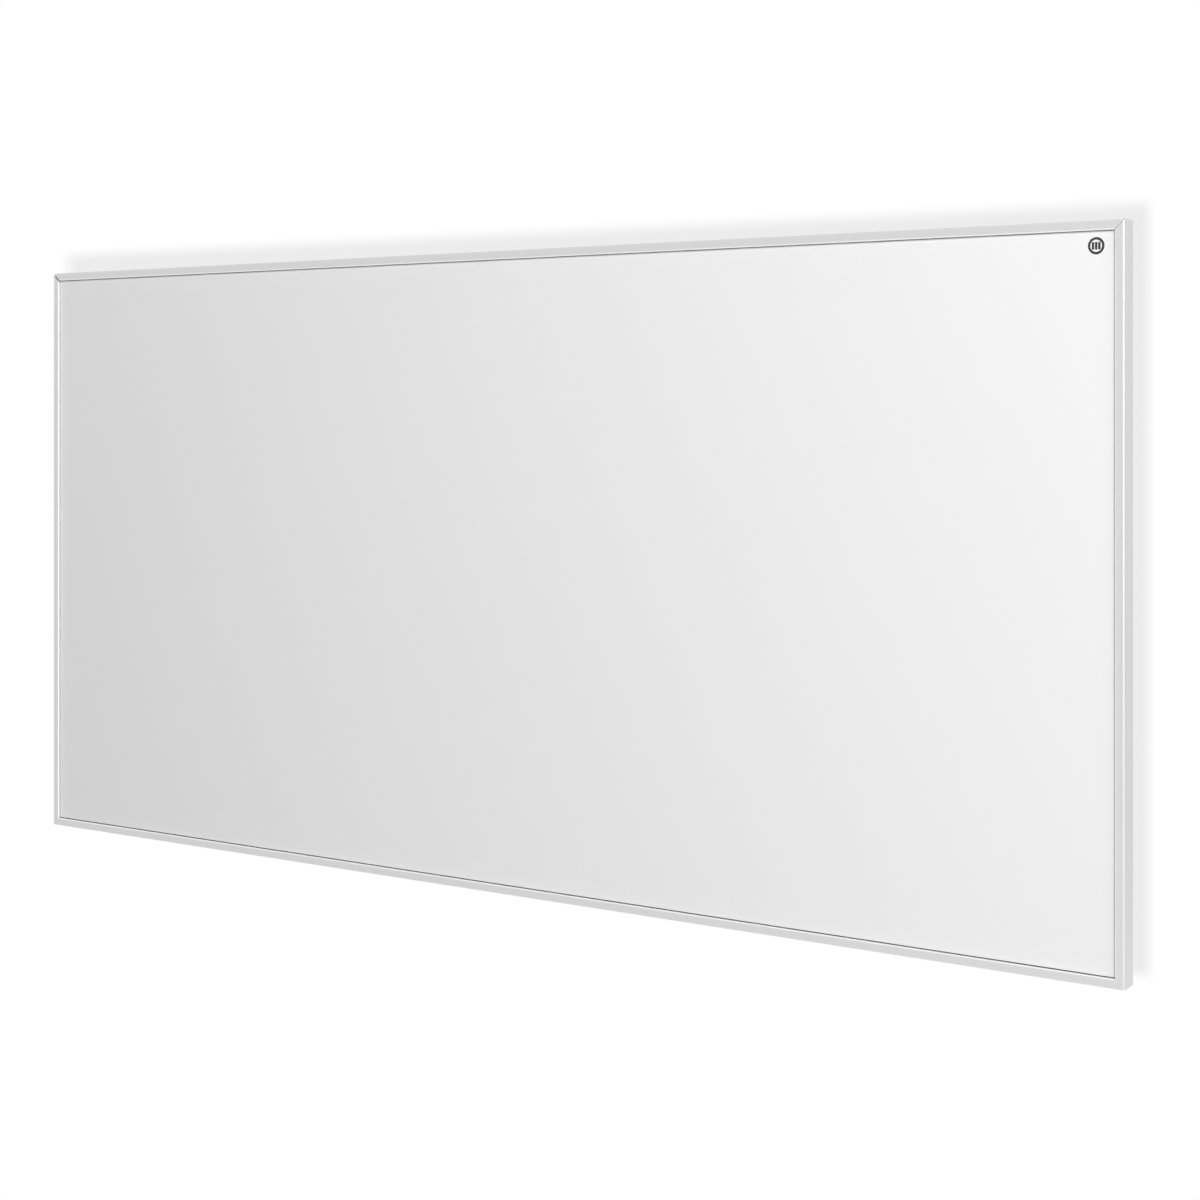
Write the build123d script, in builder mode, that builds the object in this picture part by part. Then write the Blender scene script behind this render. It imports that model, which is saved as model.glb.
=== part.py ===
from build123d import *
from math import radians, sqrt, tan
import os

# A flat infrared panel heater for a wall, in millimetres. +X is to the right seen from the room,
# +Y goes into the wall and +Z is up. The origin lies on the wall, y = 0, at the centre of the four
# wall holes, so the heater stands on the -Y side. A "level" below is a distance in front of the
# wall, y = -level, and a "place" is a pair (x, z).

# ---- Outside ---------------------------------------------------------------------------------
panel_width = 1200.0
panel_height = 600.0
frame_depth = 20.0
wall_gap = 20.0

# ---- Frame profile: lip, outer web, and the chamber that takes the corner keys ---------------
lip_width = 8.0
lip_thickness = 2.2
web_thickness = 1.4
flange_thickness = 1.4
chamber_wall = 1.2
chamber_inside = 6.6
outer_corner_radius = 1.2
lip_edge_radius = 0.4
rear_edge_radius = 0.4
mitre_gap = 0.3

# ---- Sheets between the lip and the chamber, from the front ----------------------------------
seal_thickness = 0.6
sheet_thickness = 0.6
carrier_thickness = 1.2
element_thickness = 0.2
backing_thickness = 0.4
gasket_thickness = 0.6
foil_thickness = 0.2
cover_thickness = 0.6

seal_reveal = 1.0
seal_side_cover = 0.6
seal_edge_gap = 1.6
sheet_edge_gap = 0.8
laminate_edge_gap = 1.8
cover_edge_gap = 0.3
insulation_edge_gap = 0.5

# ---- Heating element -------------------------------------------------------------------------
strip_count = 20
strip_share = 0.7
element_margin = 24.0
busbar_margin = 14.0
busbar_width = 12.0
terminal_width = 8.0
terminal_height = 6.0
terminal_depth = 3.5
terminal_window_gap = 0.2
foil_margin = 3.0

# ---- Corner keys and frame screws ------------------------------------------------------------
key_leg = 38.0
key_gap = 0.2
key_screw_reach = 24.0
key_screw_length = 9.0
cover_screw_length = 6.0
cover_screw_columns = 6
cover_screw_rows = 3
cover_screw_corner = 60.0
cover_screw_end = 100.0

# ---- Screw sizes -----------------------------------------------------------------------------
plate_screw_radius = 1.4
plate_screw_head_radius = 2.6
plate_screw_head_height = 1.8
small_screw_radius = 1.5
small_screw_head_radius = 2.9
small_screw_head_height = 2.4
bracket_screw_radius = 2.0
bracket_screw_head_radius = 4.0
bracket_screw_head_height = 2.6
thread_gap = 0.05
clearance_gap = 0.25
countersink_gap = 0.1
head_edge_radius = 0.5
recess_width = 0.9
recess_reach = 0.62
recess_depth = 1.0

# ---- Stiffeners, weld nuts and hanging brackets ----------------------------------------------
mount_margin_x = 200.0
mount_margin_z = 100.0
keyhole_radius = 5.0
slot_width = 5.4
slot_rise = 12.0
bracket_width = 60.0
bracket_thickness = 2.0
bracket_bend_radius = 0.8
bracket_corner_radius = 4.0
bracket_flange_rise = 22.0
bracket_web_drop = 12.0
bracket_foot_length = 22.0
bracket_screw_spacing = 36.0
bracket_screw_length = 8.0
stiffener_width = 50.0
stiffener_depth = 8.0
stiffener_thickness = 1.0
stiffener_end_gap = 0.5
groove_gap = 0.4
weld_nut_width = 7.0
weld_nut_height = 3.0

# ---- Pressed beads of the rear cover ---------------------------------------------------------
bead_count = 4
bead_spacing = 100.0
bead_width = 12.0
bead_height = 1.2
bead_end_gap = 30.0
bead_taper = 35.0

# ---- Terminal box ----------------------------------------------------------------------------
box_width = 120.0
box_height = 70.0
box_wall = 2.0
box_lid_thickness = 2.0
box_seal_thickness = 0.8
box_wall_gap = 2.0
box_corner_radius = 4.0
box_bracket_gap = 20.0
box_bottom_margin = 32.0
boss_radius = 3.5
boss_inset = 3.0
lid_screw_length = 10.0
box_screw_spacing_x = 90.0
box_screw_spacing_z = 40.0
box_screw_length = 6.0
nut_width = 5.5
nut_height = 2.4
earth_nut_width = 7.0
earth_nut_height = 3.2
earth_screw_length = 8.0
lug_radius = 4.5
lug_thickness = 0.8
lug_tongue_width = 3.2
barrel_length = 6.0
barrel_wall = 0.75

# ---- Terminal block --------------------------------------------------------------------------
block_width = 30.0
block_height = 18.0
block_depth = 12.0
block_offset_x = -32.0
block_offset_z = 2.0
block_edge_radius = 0.8
way_spacing = 10.0
way_radius = 1.3
clamp_spacing = 9.0
clamp_well_radius = 2.0
clamp_screw_radius = 1.9
clamp_screw_sink = 1.5
clamp_slot_width = 0.6
clamp_slot_depth = 0.9

# ---- Wire grommet, service pocket and wire grooves -------------------------------------------
grommet_offset_x = 22.0
grommet_wall_gap = 1.0
grommet_hole_radius = 11.0
grommet_gap = 0.1
grommet_flange = 2.0
grommet_flange_thickness = 1.2
grommet_bore_radius = 8.0
pocket_width = 112.0
pocket_depth = 10.0
pocket_rise = 103.0
pocket_drop = 29.0
wire_groove_width = 10.0
wire_groove_depth = 4.0
wire_offset_x = 12.0
window_size = 10.0

# ---- Thermal cut-out -------------------------------------------------------------------------
cutout_length = 20.0
cutout_width = 8.0
cutout_depth = 4.0
cutout_rise = 73.0
cutout_edge_radius = 0.8
lead_hole_depth = 3.0

# ---- Leads -----------------------------------------------------------------------------------
lead_radius = 1.1
lead_hole_gap = 0.05
lead_wall_gap = 5.0
pocket_lead_rise = 26.0
bend_share = 0.45

# ---- Cable gland -----------------------------------------------------------------------------
gland_offset_x = -32.0
gland_hex_width = 15.0
gland_thread_radius = 5.9
gland_flange_height = 5.0
gland_neck_length = 6.0
gland_thread_length = 8.0
gland_bore_radius = 4.0
gland_seal_wall = 1.2
gland_seal_length = 8.0
cable_radius = 3.3
gland_nut_hex_height = 4.4
gland_nut_height = 9.4
gland_nut_gap = 0.6
gland_nut_opening_radius = 3.7
gland_nut_roof = 2.2
gland_dome_radius = 3.0
locknut_width = 13.6
locknut_height = 4.0

# ---- Rocker switch ---------------------------------------------------------------------------
switch_offset_x = 22.0
bezel_width = 16.0
bezel_depth = 12.0
bezel_thickness = 1.8
bezel_corner_radius = 1.2
housing_width = 13.4
housing_depth = 9.4
housing_height = 13.0
housing_gap = 0.1
cavity_width = 11.2
cavity_depth = 7.4
cavity_roof_gap = 0.4
snap_depth = 0.7
snap_length = 4.0
snap_height = 2.0
rocker_radius = 5.4
rocker_side_gap = 0.2
rocker_angle = 11.0
rocker_face_drop = 1.6
rocker_top_height = 2.6
pin_radius = 0.9
pin_gap = 0.05
pin_reach = 0.7
pin_hole_depth = 0.8
tab_width = 4.8
tab_thickness = 0.8
tab_length = 7.0
tab_root = 2.0
tab_spacing = 6.4
tab_gap = 0.05
spade_width = 6.2
spade_thickness = 2.4
spade_length = 7.0
spade_stand_off = 1.0
spade_barrel_length = 7.0

# ---- Levels and places that follow from the sizes --------------------------------------------
cover_back = wall_gap
flange_back = cover_back + cover_thickness
flange_front = flange_back + flange_thickness
frame_front = wall_gap + frame_depth
lip_back = frame_front - lip_thickness
sheet_front = lip_back - seal_thickness
sheet_back = sheet_front - sheet_thickness
carrier_back = sheet_back - carrier_thickness
element_back = carrier_back - element_thickness
backing_back = element_back - backing_thickness
foil_back = backing_back - foil_thickness
chamber_front = backing_back - gasket_thickness

chamber_width = web_thickness + chamber_inside + chamber_wall
screw_line = web_thickness + chamber_inside / 2
laminate_inset = web_thickness + laminate_edge_gap
insulation_inset = chamber_width + insulation_edge_gap
bracket_x = panel_width / 2 - mount_margin_x
bracket_z = panel_height / 2 - mount_margin_z

box_x = bracket_x - bracket_width / 2 - box_bracket_gap - box_width / 2
box_bottom = -panel_height / 2 + box_bottom_margin
box_z = box_bottom + box_height / 2
box_back = box_wall_gap
box_rim = box_back + box_lid_thickness + box_seal_thickness
box_floor = cover_back - box_wall
box_middle = (box_back + cover_back) / 2
inside_width = box_width - 2 * box_wall
inside_height = box_height - 2 * box_wall
inside_radius = box_corner_radius - box_wall
lead_hole_radius = lead_radius + lead_hole_gap
wire_x = box_x + wire_offset_x
terminal_z = panel_height / 2 - busbar_margin - busbar_width / 2
align_low = (Align.MIN, Align.MIN)


def facing_room(level):
    """The plane at a level, parallel to the wall, with its normal to the room."""
    return Plane.XZ.offset(level)


def facing_wall(level):
    """The plane at a level with its normal to the wall; its local X runs to -X."""
    return Plane(origin=(0, -level, 0), x_dir=(-1, 0, 0), z_dir=(0, 1, 0))


def on_plane(plane, places):
    """Locations at local (x, y) places of a plane."""
    return Locations(*[plane * Location((x, y, 0)) for x, y in places])


def seen_from_wall(places):
    """The same places in the local coordinates of a plane that faces the wall."""
    return [(-x, z) for x, z in places]


def spread(first, last, count):
    """Evenly spaced values from first to last."""
    return [first + (last - first) * index / (count - 1) for index in range(count)]


def both_sides(x, z):
    """The four places at plus and minus x and z."""
    return [(side * x, level * z) for side in (-1, 1) for level in (-1, 1)]


def save(piece, name):
    """Labels a finished piece and writes it to its own file."""
    piece.label = name
    export_step(piece, f"parts/{name}.step")


os.makedirs("parts", exist_ok=True)


# ---- Places of the fasteners -----------------------------------------------------------------
screw_x = panel_width / 2 - screw_line
screw_z = panel_height / 2 - screw_line
column_end = panel_width / 2 - cover_screw_corner
row_end = panel_height / 2 - cover_screw_end
columns = spread(-column_end, column_end, cover_screw_columns)
rows = spread(-row_end, row_end, cover_screw_rows)
cover_screw_places = {
    "top": [(x, screw_z) for x in columns],
    "bottom": [(x, -screw_z) for x in columns],
    "left": [(-screw_x, z) for z in rows],
    "right": [(screw_x, z) for z in rows],
}
level_key_places = both_sides(panel_width / 2 - key_screw_reach, screw_z)
upright_key_places = both_sides(screw_x, panel_height / 2 - key_screw_reach)
key_screw_places = {
    "top": [place for place in level_key_places if place[1] > 0],
    "bottom": [place for place in level_key_places if place[1] < 0],
    "left": [place for place in upright_key_places if place[0] < 0],
    "right": [place for place in upright_key_places if place[0] > 0],
}
all_cover_screws = [place for side in cover_screw_places.values() for place in side]
all_key_screws = level_key_places + upright_key_places

foot_middle = bracket_web_drop - bracket_thickness + bracket_foot_length / 2
foot_level_z = foot_middle + 1.0
bracket_screw_places = [
    (x + side * bracket_screw_spacing / 2, z - foot_level_z)
    for x, z in both_sides(bracket_x, bracket_z)
    for side in (-1, 1)
]

boss_x = box_width / 2 - box_wall - boss_inset
boss_z = box_height / 2 - box_wall - boss_inset
boss_places = [(box_x + x, box_z + z) for x, z in both_sides(boss_x, boss_z)]
box_screw_places = [
    (box_x + x, box_z + z)
    for x, z in both_sides(box_screw_spacing_x / 2, box_screw_spacing_z / 2)
]
earth_place = (box_x, box_z)
grommet_drop = grommet_wall_gap + grommet_flange + grommet_hole_radius
grommet_place = (box_x + grommet_offset_x, box_z + inside_height / 2 - grommet_drop)
terminal_places = [(wire_x, terminal_z), (wire_x, -terminal_z)]


# ---- Fasteners -------------------------------------------------------------------------------
def make_screws(places, seat, radius, head_radius, head_height, length, countersunk=False):
    """Screws driven from behind. A pan head rests on the seat level from the wall's side, and a
    countersunk one lies flush with it."""
    head_back = seat if countersunk else seat - head_height
    with BuildPart() as screws:
        with BuildSketch(facing_room(head_back)):
            with Locations(*places):
                Circle(head_radius)
        if countersunk:
            extrude(amount=head_height, taper=45)
        else:
            extrude(amount=head_height)
            rims = screws.edges().filter_by(GeomType.CIRCLE).group_by(Axis.Y)[-1]
            fillet(rims, radius=head_edge_radius)
        with BuildSketch(facing_room(seat)):
            with Locations(*places):
                Circle(radius)
        extrude(amount=length)
        with BuildSketch(facing_room(head_back)):
            with Locations(*places):
                Rectangle(2 * recess_reach * head_radius, recess_width)
                Rectangle(recess_width, 2 * recess_reach * head_radius)
        extrude(amount=recess_depth, mode=Mode.SUBTRACT)
    return screws.part


def make_hex_nuts(places, seat, width, height, bore_radius):
    """Hexagon nuts on the room side of the seat level."""
    with BuildPart() as nuts:
        with BuildSketch(facing_room(seat)):
            with Locations(*places):
                RegularPolygon(width / 2, side_count=6, major_radius=False)
                Circle(bore_radius, mode=Mode.SUBTRACT)
        extrude(amount=height)
    return nuts.part


# ---- Frame -----------------------------------------------------------------------------------
def make_frame_member(name, corner, inward, along, length):
    """One side of the frame: the profile run between two corners, cut at 45 degrees at both."""
    section = Plane(origin=corner, x_dir=inward, z_dir=along)
    half_gap = mitre_gap / sqrt(2)
    start_cut = Plane(origin=corner + along * half_gap, z_dir=along - inward)
    end_cut = Plane(origin=corner + along * (length - half_gap), z_dir=-along - inward)
    chamber_depth = chamber_front - flange_back
    with BuildPart() as member:
        with BuildSketch(section) as profile:
            Rectangle(lip_width, lip_thickness, align=align_low)
            Rectangle(web_thickness, frame_depth, align=align_low)
            with Locations((0, frame_front - chamber_front)):
                Rectangle(chamber_width, chamber_depth, align=align_low)
            with Locations((web_thickness, frame_front - chamber_front + chamber_wall)):
                Rectangle(
                    chamber_inside,
                    chamber_depth - chamber_wall - flange_thickness,
                    align=align_low,
                    mode=Mode.SUBTRACT,
                )
            for u, depth, radius in (
                (0, 0, outer_corner_radius),
                (lip_width, 0, lip_edge_radius),
                (0, frame_depth, rear_edge_radius),
            ):
                fillet(profile.vertices().sort_by_distance((u, depth))[0], radius=radius)
        extrude(amount=length)
        split(bisect_by=start_cut, keep=Keep.TOP)
        split(bisect_by=end_cut, keep=Keep.TOP)
        with on_plane(facing_room(flange_back), cover_screw_places[name]):
            Hole(plate_screw_radius + thread_gap, depth=flange_thickness)
        with on_plane(facing_wall(flange_back), seen_from_wall(key_screw_places[name])):
            CounterSinkHole(
                plate_screw_radius + clearance_gap,
                plate_screw_head_radius + countersink_gap,
                depth=flange_thickness,
                counter_sink_angle=90,
            )
    return member.part


left_top = Vector(-panel_width / 2, -frame_front, panel_height / 2)
right_top = Vector(panel_width / 2, -frame_front, panel_height / 2)
left_bottom = Vector(-panel_width / 2, -frame_front, -panel_height / 2)
right_bottom = Vector(panel_width / 2, -frame_front, -panel_height / 2)
to_right = Vector(1, 0, 0)
upward = Vector(0, 0, 1)
for side, corner, inward, along, length in (
    ("top", left_top, -upward, to_right, panel_width),
    ("bottom", right_bottom, upward, -to_right, panel_width),
    ("left", left_bottom, to_right, upward, panel_height),
    ("right", right_top, -to_right, -upward, panel_height),
):
    save(make_frame_member(side, corner, inward, along, length), f"frame_{side}")

# Corner keys: an angle in each corner of the chamber, screwed to both members.
key_width = chamber_inside - 2 * key_gap
key_back = flange_front + key_gap
key_depth = chamber_front - chamber_wall - key_gap - key_back
key_edge = web_thickness + key_gap
with BuildPart() as corner_keys:
    with BuildSketch(facing_room(key_back)) as key_outline:
        with Locations((panel_width / 2 - key_edge, panel_height / 2 - key_edge)):
            Rectangle(key_leg, key_width, align=(Align.MAX, Align.MAX))
            Rectangle(key_width, key_leg, align=(Align.MAX, Align.MAX))
        mirror(about=Plane.YZ)
        mirror(about=Plane.XZ)
    extrude(amount=key_depth)
    with on_plane(facing_room(key_back), all_key_screws):
        Hole(plate_screw_radius + thread_gap, depth=key_screw_length)
save(corner_keys.part, "corner_keys")

save(
    make_screws(
        all_key_screws,
        flange_back,
        plate_screw_radius,
        plate_screw_head_radius,
        plate_screw_head_radius - plate_screw_radius,
        key_screw_length,
        countersunk=True,
    ),
    "corner_screws",
)


# ---- Front sheet, seal and heating laminate --------------------------------------------------
def make_sheet(edge_inset, back, thickness):
    """A flat sheet that stops edge_inset inside the outline of the frame."""
    with BuildPart() as sheet:
        with BuildSketch(facing_room(back)):
            Rectangle(panel_width - 2 * edge_inset, panel_height - 2 * edge_inset)
        extrude(amount=thickness)
    return sheet.part


def make_ring(outer_inset, inner_inset_x, inner_inset_z, back, thickness):
    """A flat rectangular ring between insets from the outline of the frame."""
    with BuildPart() as ring:
        with BuildSketch(facing_room(back)):
            Rectangle(panel_width - 2 * outer_inset, panel_height - 2 * outer_inset)
            Rectangle(
                panel_width - 2 * inner_inset_x,
                panel_height - 2 * inner_inset_z,
                mode=Mode.SUBTRACT,
            )
        extrude(amount=thickness)
    return ring.part


# The seal shows as a line along the top and the bottom, and lies under the lip at both sides.
save(
    make_ring(
        web_thickness + seal_edge_gap,
        lip_width - seal_side_cover,
        lip_width + seal_reveal,
        sheet_front,
        seal_thickness,
    ),
    "front_seal",
)
save(make_sheet(web_thickness + sheet_edge_gap, sheet_back, sheet_thickness), "front_panel")
save(make_sheet(laminate_inset, carrier_back, carrier_thickness), "carrier_board")
save(
    make_ring(laminate_inset, chamber_width, chamber_width, chamber_front, gasket_thickness),
    "rear_gasket",
)

# Carbon strips side by side, from busbar to busbar.
element_width = panel_width - 2 * element_margin
strip_pitch = element_width / strip_count
strip_length = 2 * terminal_z - busbar_width
with BuildPart() as carbon_strips:
    with BuildSketch(facing_room(element_back)):
        with GridLocations(strip_pitch, 0, strip_count, 1):
            Rectangle(strip_pitch * strip_share, strip_length)
    extrude(amount=element_thickness)
save(carbon_strips.part, "carbon_strips")

for name, z in (("busbar_upper", terminal_z), ("busbar_lower", -terminal_z)):
    with BuildPart() as busbar:
        with BuildSketch(facing_room(element_back)):
            with Locations((0, z)):
                Rectangle(element_width, busbar_width)
        extrude(amount=element_thickness)
    save(busbar.part, name)

with BuildPart() as backing_sheet:
    with BuildSketch(facing_room(backing_back)):
        Rectangle(panel_width - 2 * laminate_inset, panel_height - 2 * laminate_inset)
        with Locations(*terminal_places):
            Rectangle(
                terminal_width + 2 * terminal_window_gap,
                terminal_height + 2 * terminal_window_gap,
                mode=Mode.SUBTRACT,
            )
    extrude(amount=backing_thickness)
save(backing_sheet.part, "backing_sheet")

# Solder blocks on the busbars; each takes a lead's end in its back.
terminal_back = element_back - terminal_depth
with BuildPart() as busbar_terminals:
    with BuildSketch(facing_room(terminal_back)):
        with Locations(*terminal_places):
            Rectangle(terminal_width, terminal_height)
    extrude(amount=terminal_depth)
    with on_plane(facing_room(terminal_back), terminal_places):
        Hole(lead_hole_radius, depth=lead_hole_depth)
save(busbar_terminals.part, "busbar_terminals")

foil_inset_z = busbar_margin + busbar_width + foil_margin
with BuildPart() as reflector_foil:
    with BuildSketch(facing_room(foil_back)):
        Rectangle(panel_width - 2 * insulation_inset, panel_height - 2 * foil_inset_z)
    extrude(amount=foil_thickness)
save(reflector_foil.part, "reflector_foil")

# Insulation, with grooves for the stiffeners, a pocket behind the terminal box, and wire grooves.
pocket_top = box_z + pocket_rise
pocket_bottom = box_z - pocket_drop
window_reach = terminal_z + window_size / 2
with BuildPart() as insulation_board:
    with BuildSketch(facing_room(flange_back)):
        Rectangle(panel_width - 2 * insulation_inset, panel_height - 2 * insulation_inset)
    extrude(amount=foil_back - flange_back)
    with BuildSketch(facing_room(flange_back)):
        with GridLocations(2 * bracket_x, 0, 2, 1):
            Rectangle(stiffener_width + 2 * groove_gap, panel_height)
    extrude(amount=stiffener_depth + groove_gap, mode=Mode.SUBTRACT)
    with BuildSketch(facing_room(flange_back)):
        with Locations((box_x, pocket_bottom)):
            Rectangle(pocket_width, pocket_top - pocket_bottom, align=(Align.CENTER, Align.MIN))
    extrude(amount=pocket_depth, mode=Mode.SUBTRACT)
    with BuildSketch(facing_room(flange_back)):
        with Locations((wire_x, 0)):
            Rectangle(wire_groove_width, 2 * window_reach)
    extrude(amount=wire_groove_depth, mode=Mode.SUBTRACT)
    with BuildSketch(facing_room(flange_back)):
        with Locations(*terminal_places):
            Rectangle(window_size, window_size)
    extrude(amount=foil_back - flange_back, mode=Mode.SUBTRACT)
save(insulation_board.part, "insulation_board")


# ---- Rear cover ------------------------------------------------------------------------------
bead_length = 2 * (bracket_x - bracket_width / 2 - bead_end_gap)
with BuildPart() as rear_cover:
    with BuildSketch(facing_room(cover_back)):
        Rectangle(
            panel_width - 2 * (web_thickness + cover_edge_gap),
            panel_height - 2 * (web_thickness + cover_edge_gap),
        )
    extrude(amount=cover_thickness)
    with BuildSketch(facing_room(cover_back)):
        with GridLocations(0, bead_spacing, 1, bead_count):
            SlotOverall(bead_length, bead_width)
    extrude(amount=-bead_height, taper=bead_taper)
    with BuildSketch(facing_room(flange_back)):
        with GridLocations(0, bead_spacing, 1, bead_count):
            SlotOverall(bead_length - cover_thickness, bead_width - cover_thickness)
    extrude(amount=-bead_height, taper=bead_taper, mode=Mode.SUBTRACT)
    with on_plane(facing_room(cover_back), all_cover_screws):
        Hole(plate_screw_radius + clearance_gap, depth=cover_thickness)
    with on_plane(facing_room(cover_back), box_screw_places):
        Hole(small_screw_radius + clearance_gap, depth=cover_thickness)
    with on_plane(facing_room(cover_back), bracket_screw_places + [earth_place]):
        Hole(bracket_screw_radius + clearance_gap, depth=cover_thickness)
    with on_plane(facing_room(cover_back), [grommet_place]):
        Hole(grommet_hole_radius, depth=cover_thickness)
save(rear_cover.part, "rear_cover")

save(
    make_screws(
        all_cover_screws,
        cover_back,
        plate_screw_radius,
        plate_screw_head_radius,
        plate_screw_head_height,
        cover_screw_length,
    ),
    "cover_screws",
)


# ---- Stiffeners, weld nuts, hanging brackets -------------------------------------------------
def make_stiffener(x):
    """An upright channel behind two brackets, with its web against the rear cover."""
    length = panel_height - 2 * (chamber_width + stiffener_end_gap)
    with BuildPart() as stiffener:
        with BuildSketch(facing_room(flange_back)):
            with Locations((x, 0)):
                Rectangle(stiffener_width, length)
        extrude(amount=stiffener_depth)
        with BuildSketch(facing_room(flange_back + stiffener_thickness)):
            with Locations((x, 0)):
                Rectangle(stiffener_width - 2 * stiffener_thickness, length)
        extrude(amount=stiffener_depth, mode=Mode.SUBTRACT)
        near_screws = [place for place in bracket_screw_places if abs(place[0] - x) < bracket_width]
        with on_plane(facing_room(flange_back), near_screws):
            Hole(bracket_screw_radius + clearance_gap, depth=stiffener_thickness)
    return stiffener.part


save(make_stiffener(-bracket_x), "stiffener_left")
save(make_stiffener(bracket_x), "stiffener_right")

weld_nut_seat = flange_back + stiffener_thickness
with BuildPart() as weld_nuts:
    with BuildSketch(facing_room(weld_nut_seat)):
        with Locations(*bracket_screw_places):
            Rectangle(weld_nut_width, weld_nut_width)
            Circle(bracket_screw_radius + thread_gap, mode=Mode.SUBTRACT)
    extrude(amount=weld_nut_height)
save(weld_nuts.part, "weld_nuts")


def make_bracket(x, z):
    """A Z bracket: a wall flange with a keyhole, a web, and a foot on the rear cover."""
    outer_bend = bracket_bend_radius + bracket_thickness
    web_top = z - bracket_web_drop + bracket_thickness
    web_bottom = z - bracket_web_drop
    with BuildPart() as bracket:
        with BuildSketch(Plane.YZ.offset(x)) as side_view:
            with Locations((-bracket_thickness, web_bottom)):
                Rectangle(
                    bracket_thickness, bracket_web_drop + bracket_flange_rise, align=align_low
                )
            with Locations((-cover_back, web_bottom)):
                Rectangle(cover_back, bracket_thickness, align=align_low)
            with Locations((-cover_back, web_top)):
                Rectangle(bracket_thickness, bracket_foot_length, align=(Align.MIN, Align.MAX))
            for y, height, radius in (
                (0, web_bottom, outer_bend),
                (-bracket_thickness, web_top, bracket_bend_radius),
                (-cover_back, web_top, outer_bend),
                (bracket_thickness - cover_back, web_bottom, bracket_bend_radius),
            ):
                fillet(side_view.vertices().sort_by_distance((y, height))[0], radius=radius)
        extrude(amount=bracket_width / 2, both=True)
        corners = bracket.edges().filter_by(Axis.Y).group_by(Axis.Z)
        fillet(corners[0] + corners[-1], radius=bracket_corner_radius)
        with BuildSketch(facing_room(0)):
            with Locations((x, z)):
                Circle(keyhole_radius)
                Rectangle(slot_width, slot_rise, align=(Align.CENTER, Align.MIN))
            with Locations((x, z + slot_rise)):
                Circle(slot_width / 2)
        extrude(amount=bracket_thickness, mode=Mode.SUBTRACT)
        foot_holes = [
            place
            for place in bracket_screw_places
            if abs(place[0] - x) < bracket_width and abs(place[1] - z) < bracket_width
        ]
        with on_plane(facing_room(cover_back), foot_holes):
            Hole(bracket_screw_radius + clearance_gap, depth=bracket_thickness)
    return bracket.part


for height_name, z in (("upper", bracket_z), ("lower", -bracket_z)):
    for side_name, x in (("left", -bracket_x), ("right", bracket_x)):
        save(make_bracket(x, z), f"bracket_{height_name}_{side_name}")

save(
    make_screws(
        bracket_screw_places,
        cover_back - bracket_thickness,
        bracket_screw_radius,
        bracket_screw_head_radius,
        bracket_screw_head_height,
        bracket_screw_length,
    ),
    "bracket_screws",
)


# ---- Terminal box ----------------------------------------------------------------------------
gland_x = box_x + gland_offset_x
switch_x = box_x + switch_offset_x
with BuildPart() as terminal_box:
    with BuildSketch(facing_room(box_rim)):
        with Locations((box_x, box_z)):
            RectangleRounded(box_width, box_height, box_corner_radius)
    extrude(amount=cover_back - box_rim)
    with BuildSketch(facing_room(box_rim)):
        with Locations((box_x, box_z)):
            RectangleRounded(inside_width, inside_height, inside_radius)
    extrude(amount=box_floor - box_rim, mode=Mode.SUBTRACT)
    with BuildSketch(facing_room(box_rim)):
        with Locations(*boss_places):
            Circle(boss_radius)
            Circle(small_screw_radius + thread_gap, mode=Mode.SUBTRACT)
    extrude(amount=box_floor - box_rim)
    with on_plane(facing_room(box_floor), box_screw_places):
        Hole(small_screw_radius + clearance_gap, depth=box_wall)
    with on_plane(facing_room(box_floor), [earth_place]):
        Hole(bracket_screw_radius + clearance_gap, depth=box_wall)
    with on_plane(facing_room(box_floor), [grommet_place]):
        Hole(grommet_hole_radius, depth=box_wall)
    with BuildSketch(Plane.XY.offset(box_bottom)):
        with Locations((gland_x, -box_middle)):
            Circle(gland_thread_radius + thread_gap)
        with Locations((switch_x, -box_middle)):
            Rectangle(housing_width + 2 * housing_gap, housing_depth + 2 * housing_gap)
    extrude(amount=box_wall, mode=Mode.SUBTRACT)
save(terminal_box.part, "terminal_box")

lid_seat = box_back + box_lid_thickness
with BuildPart() as box_seal:
    with BuildSketch(facing_room(lid_seat)):
        with Locations((box_x, box_z)):
            RectangleRounded(box_width, box_height, box_corner_radius)
            RectangleRounded(inside_width, inside_height, inside_radius, mode=Mode.SUBTRACT)
        with Locations(*boss_places):
            Circle(boss_radius)
            Circle(small_screw_radius + clearance_gap, mode=Mode.SUBTRACT)
    extrude(amount=box_seal_thickness)
save(box_seal.part, "box_seal")

with BuildPart() as box_lid:
    with BuildSketch(facing_room(box_back)):
        with Locations((box_x, box_z)):
            RectangleRounded(box_width, box_height, box_corner_radius)
    extrude(amount=box_lid_thickness)
    lid_rim = box_lid.edges().group_by(Axis.Y)[-1]
    fillet(lid_rim, radius=head_edge_radius)
    with on_plane(facing_wall(box_back), seen_from_wall(boss_places)):
        CounterSinkHole(
            small_screw_radius + clearance_gap,
            small_screw_head_radius + countersink_gap,
            depth=box_lid_thickness,
            counter_sink_angle=90,
        )
save(box_lid.part, "box_lid")

save(
    make_screws(
        boss_places,
        box_back,
        small_screw_radius,
        small_screw_head_radius,
        small_screw_head_radius - small_screw_radius,
        lid_screw_length,
        countersunk=True,
    ),
    "lid_screws",
)
save(
    make_screws(
        box_screw_places,
        box_floor,
        small_screw_radius,
        small_screw_head_radius,
        small_screw_head_height,
        box_screw_length,
    ),
    "box_screws",
)
save(
    make_hex_nuts(
        box_screw_places, flange_back, nut_width, nut_height, small_screw_radius + thread_gap
    ),
    "box_nuts",
)

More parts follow.
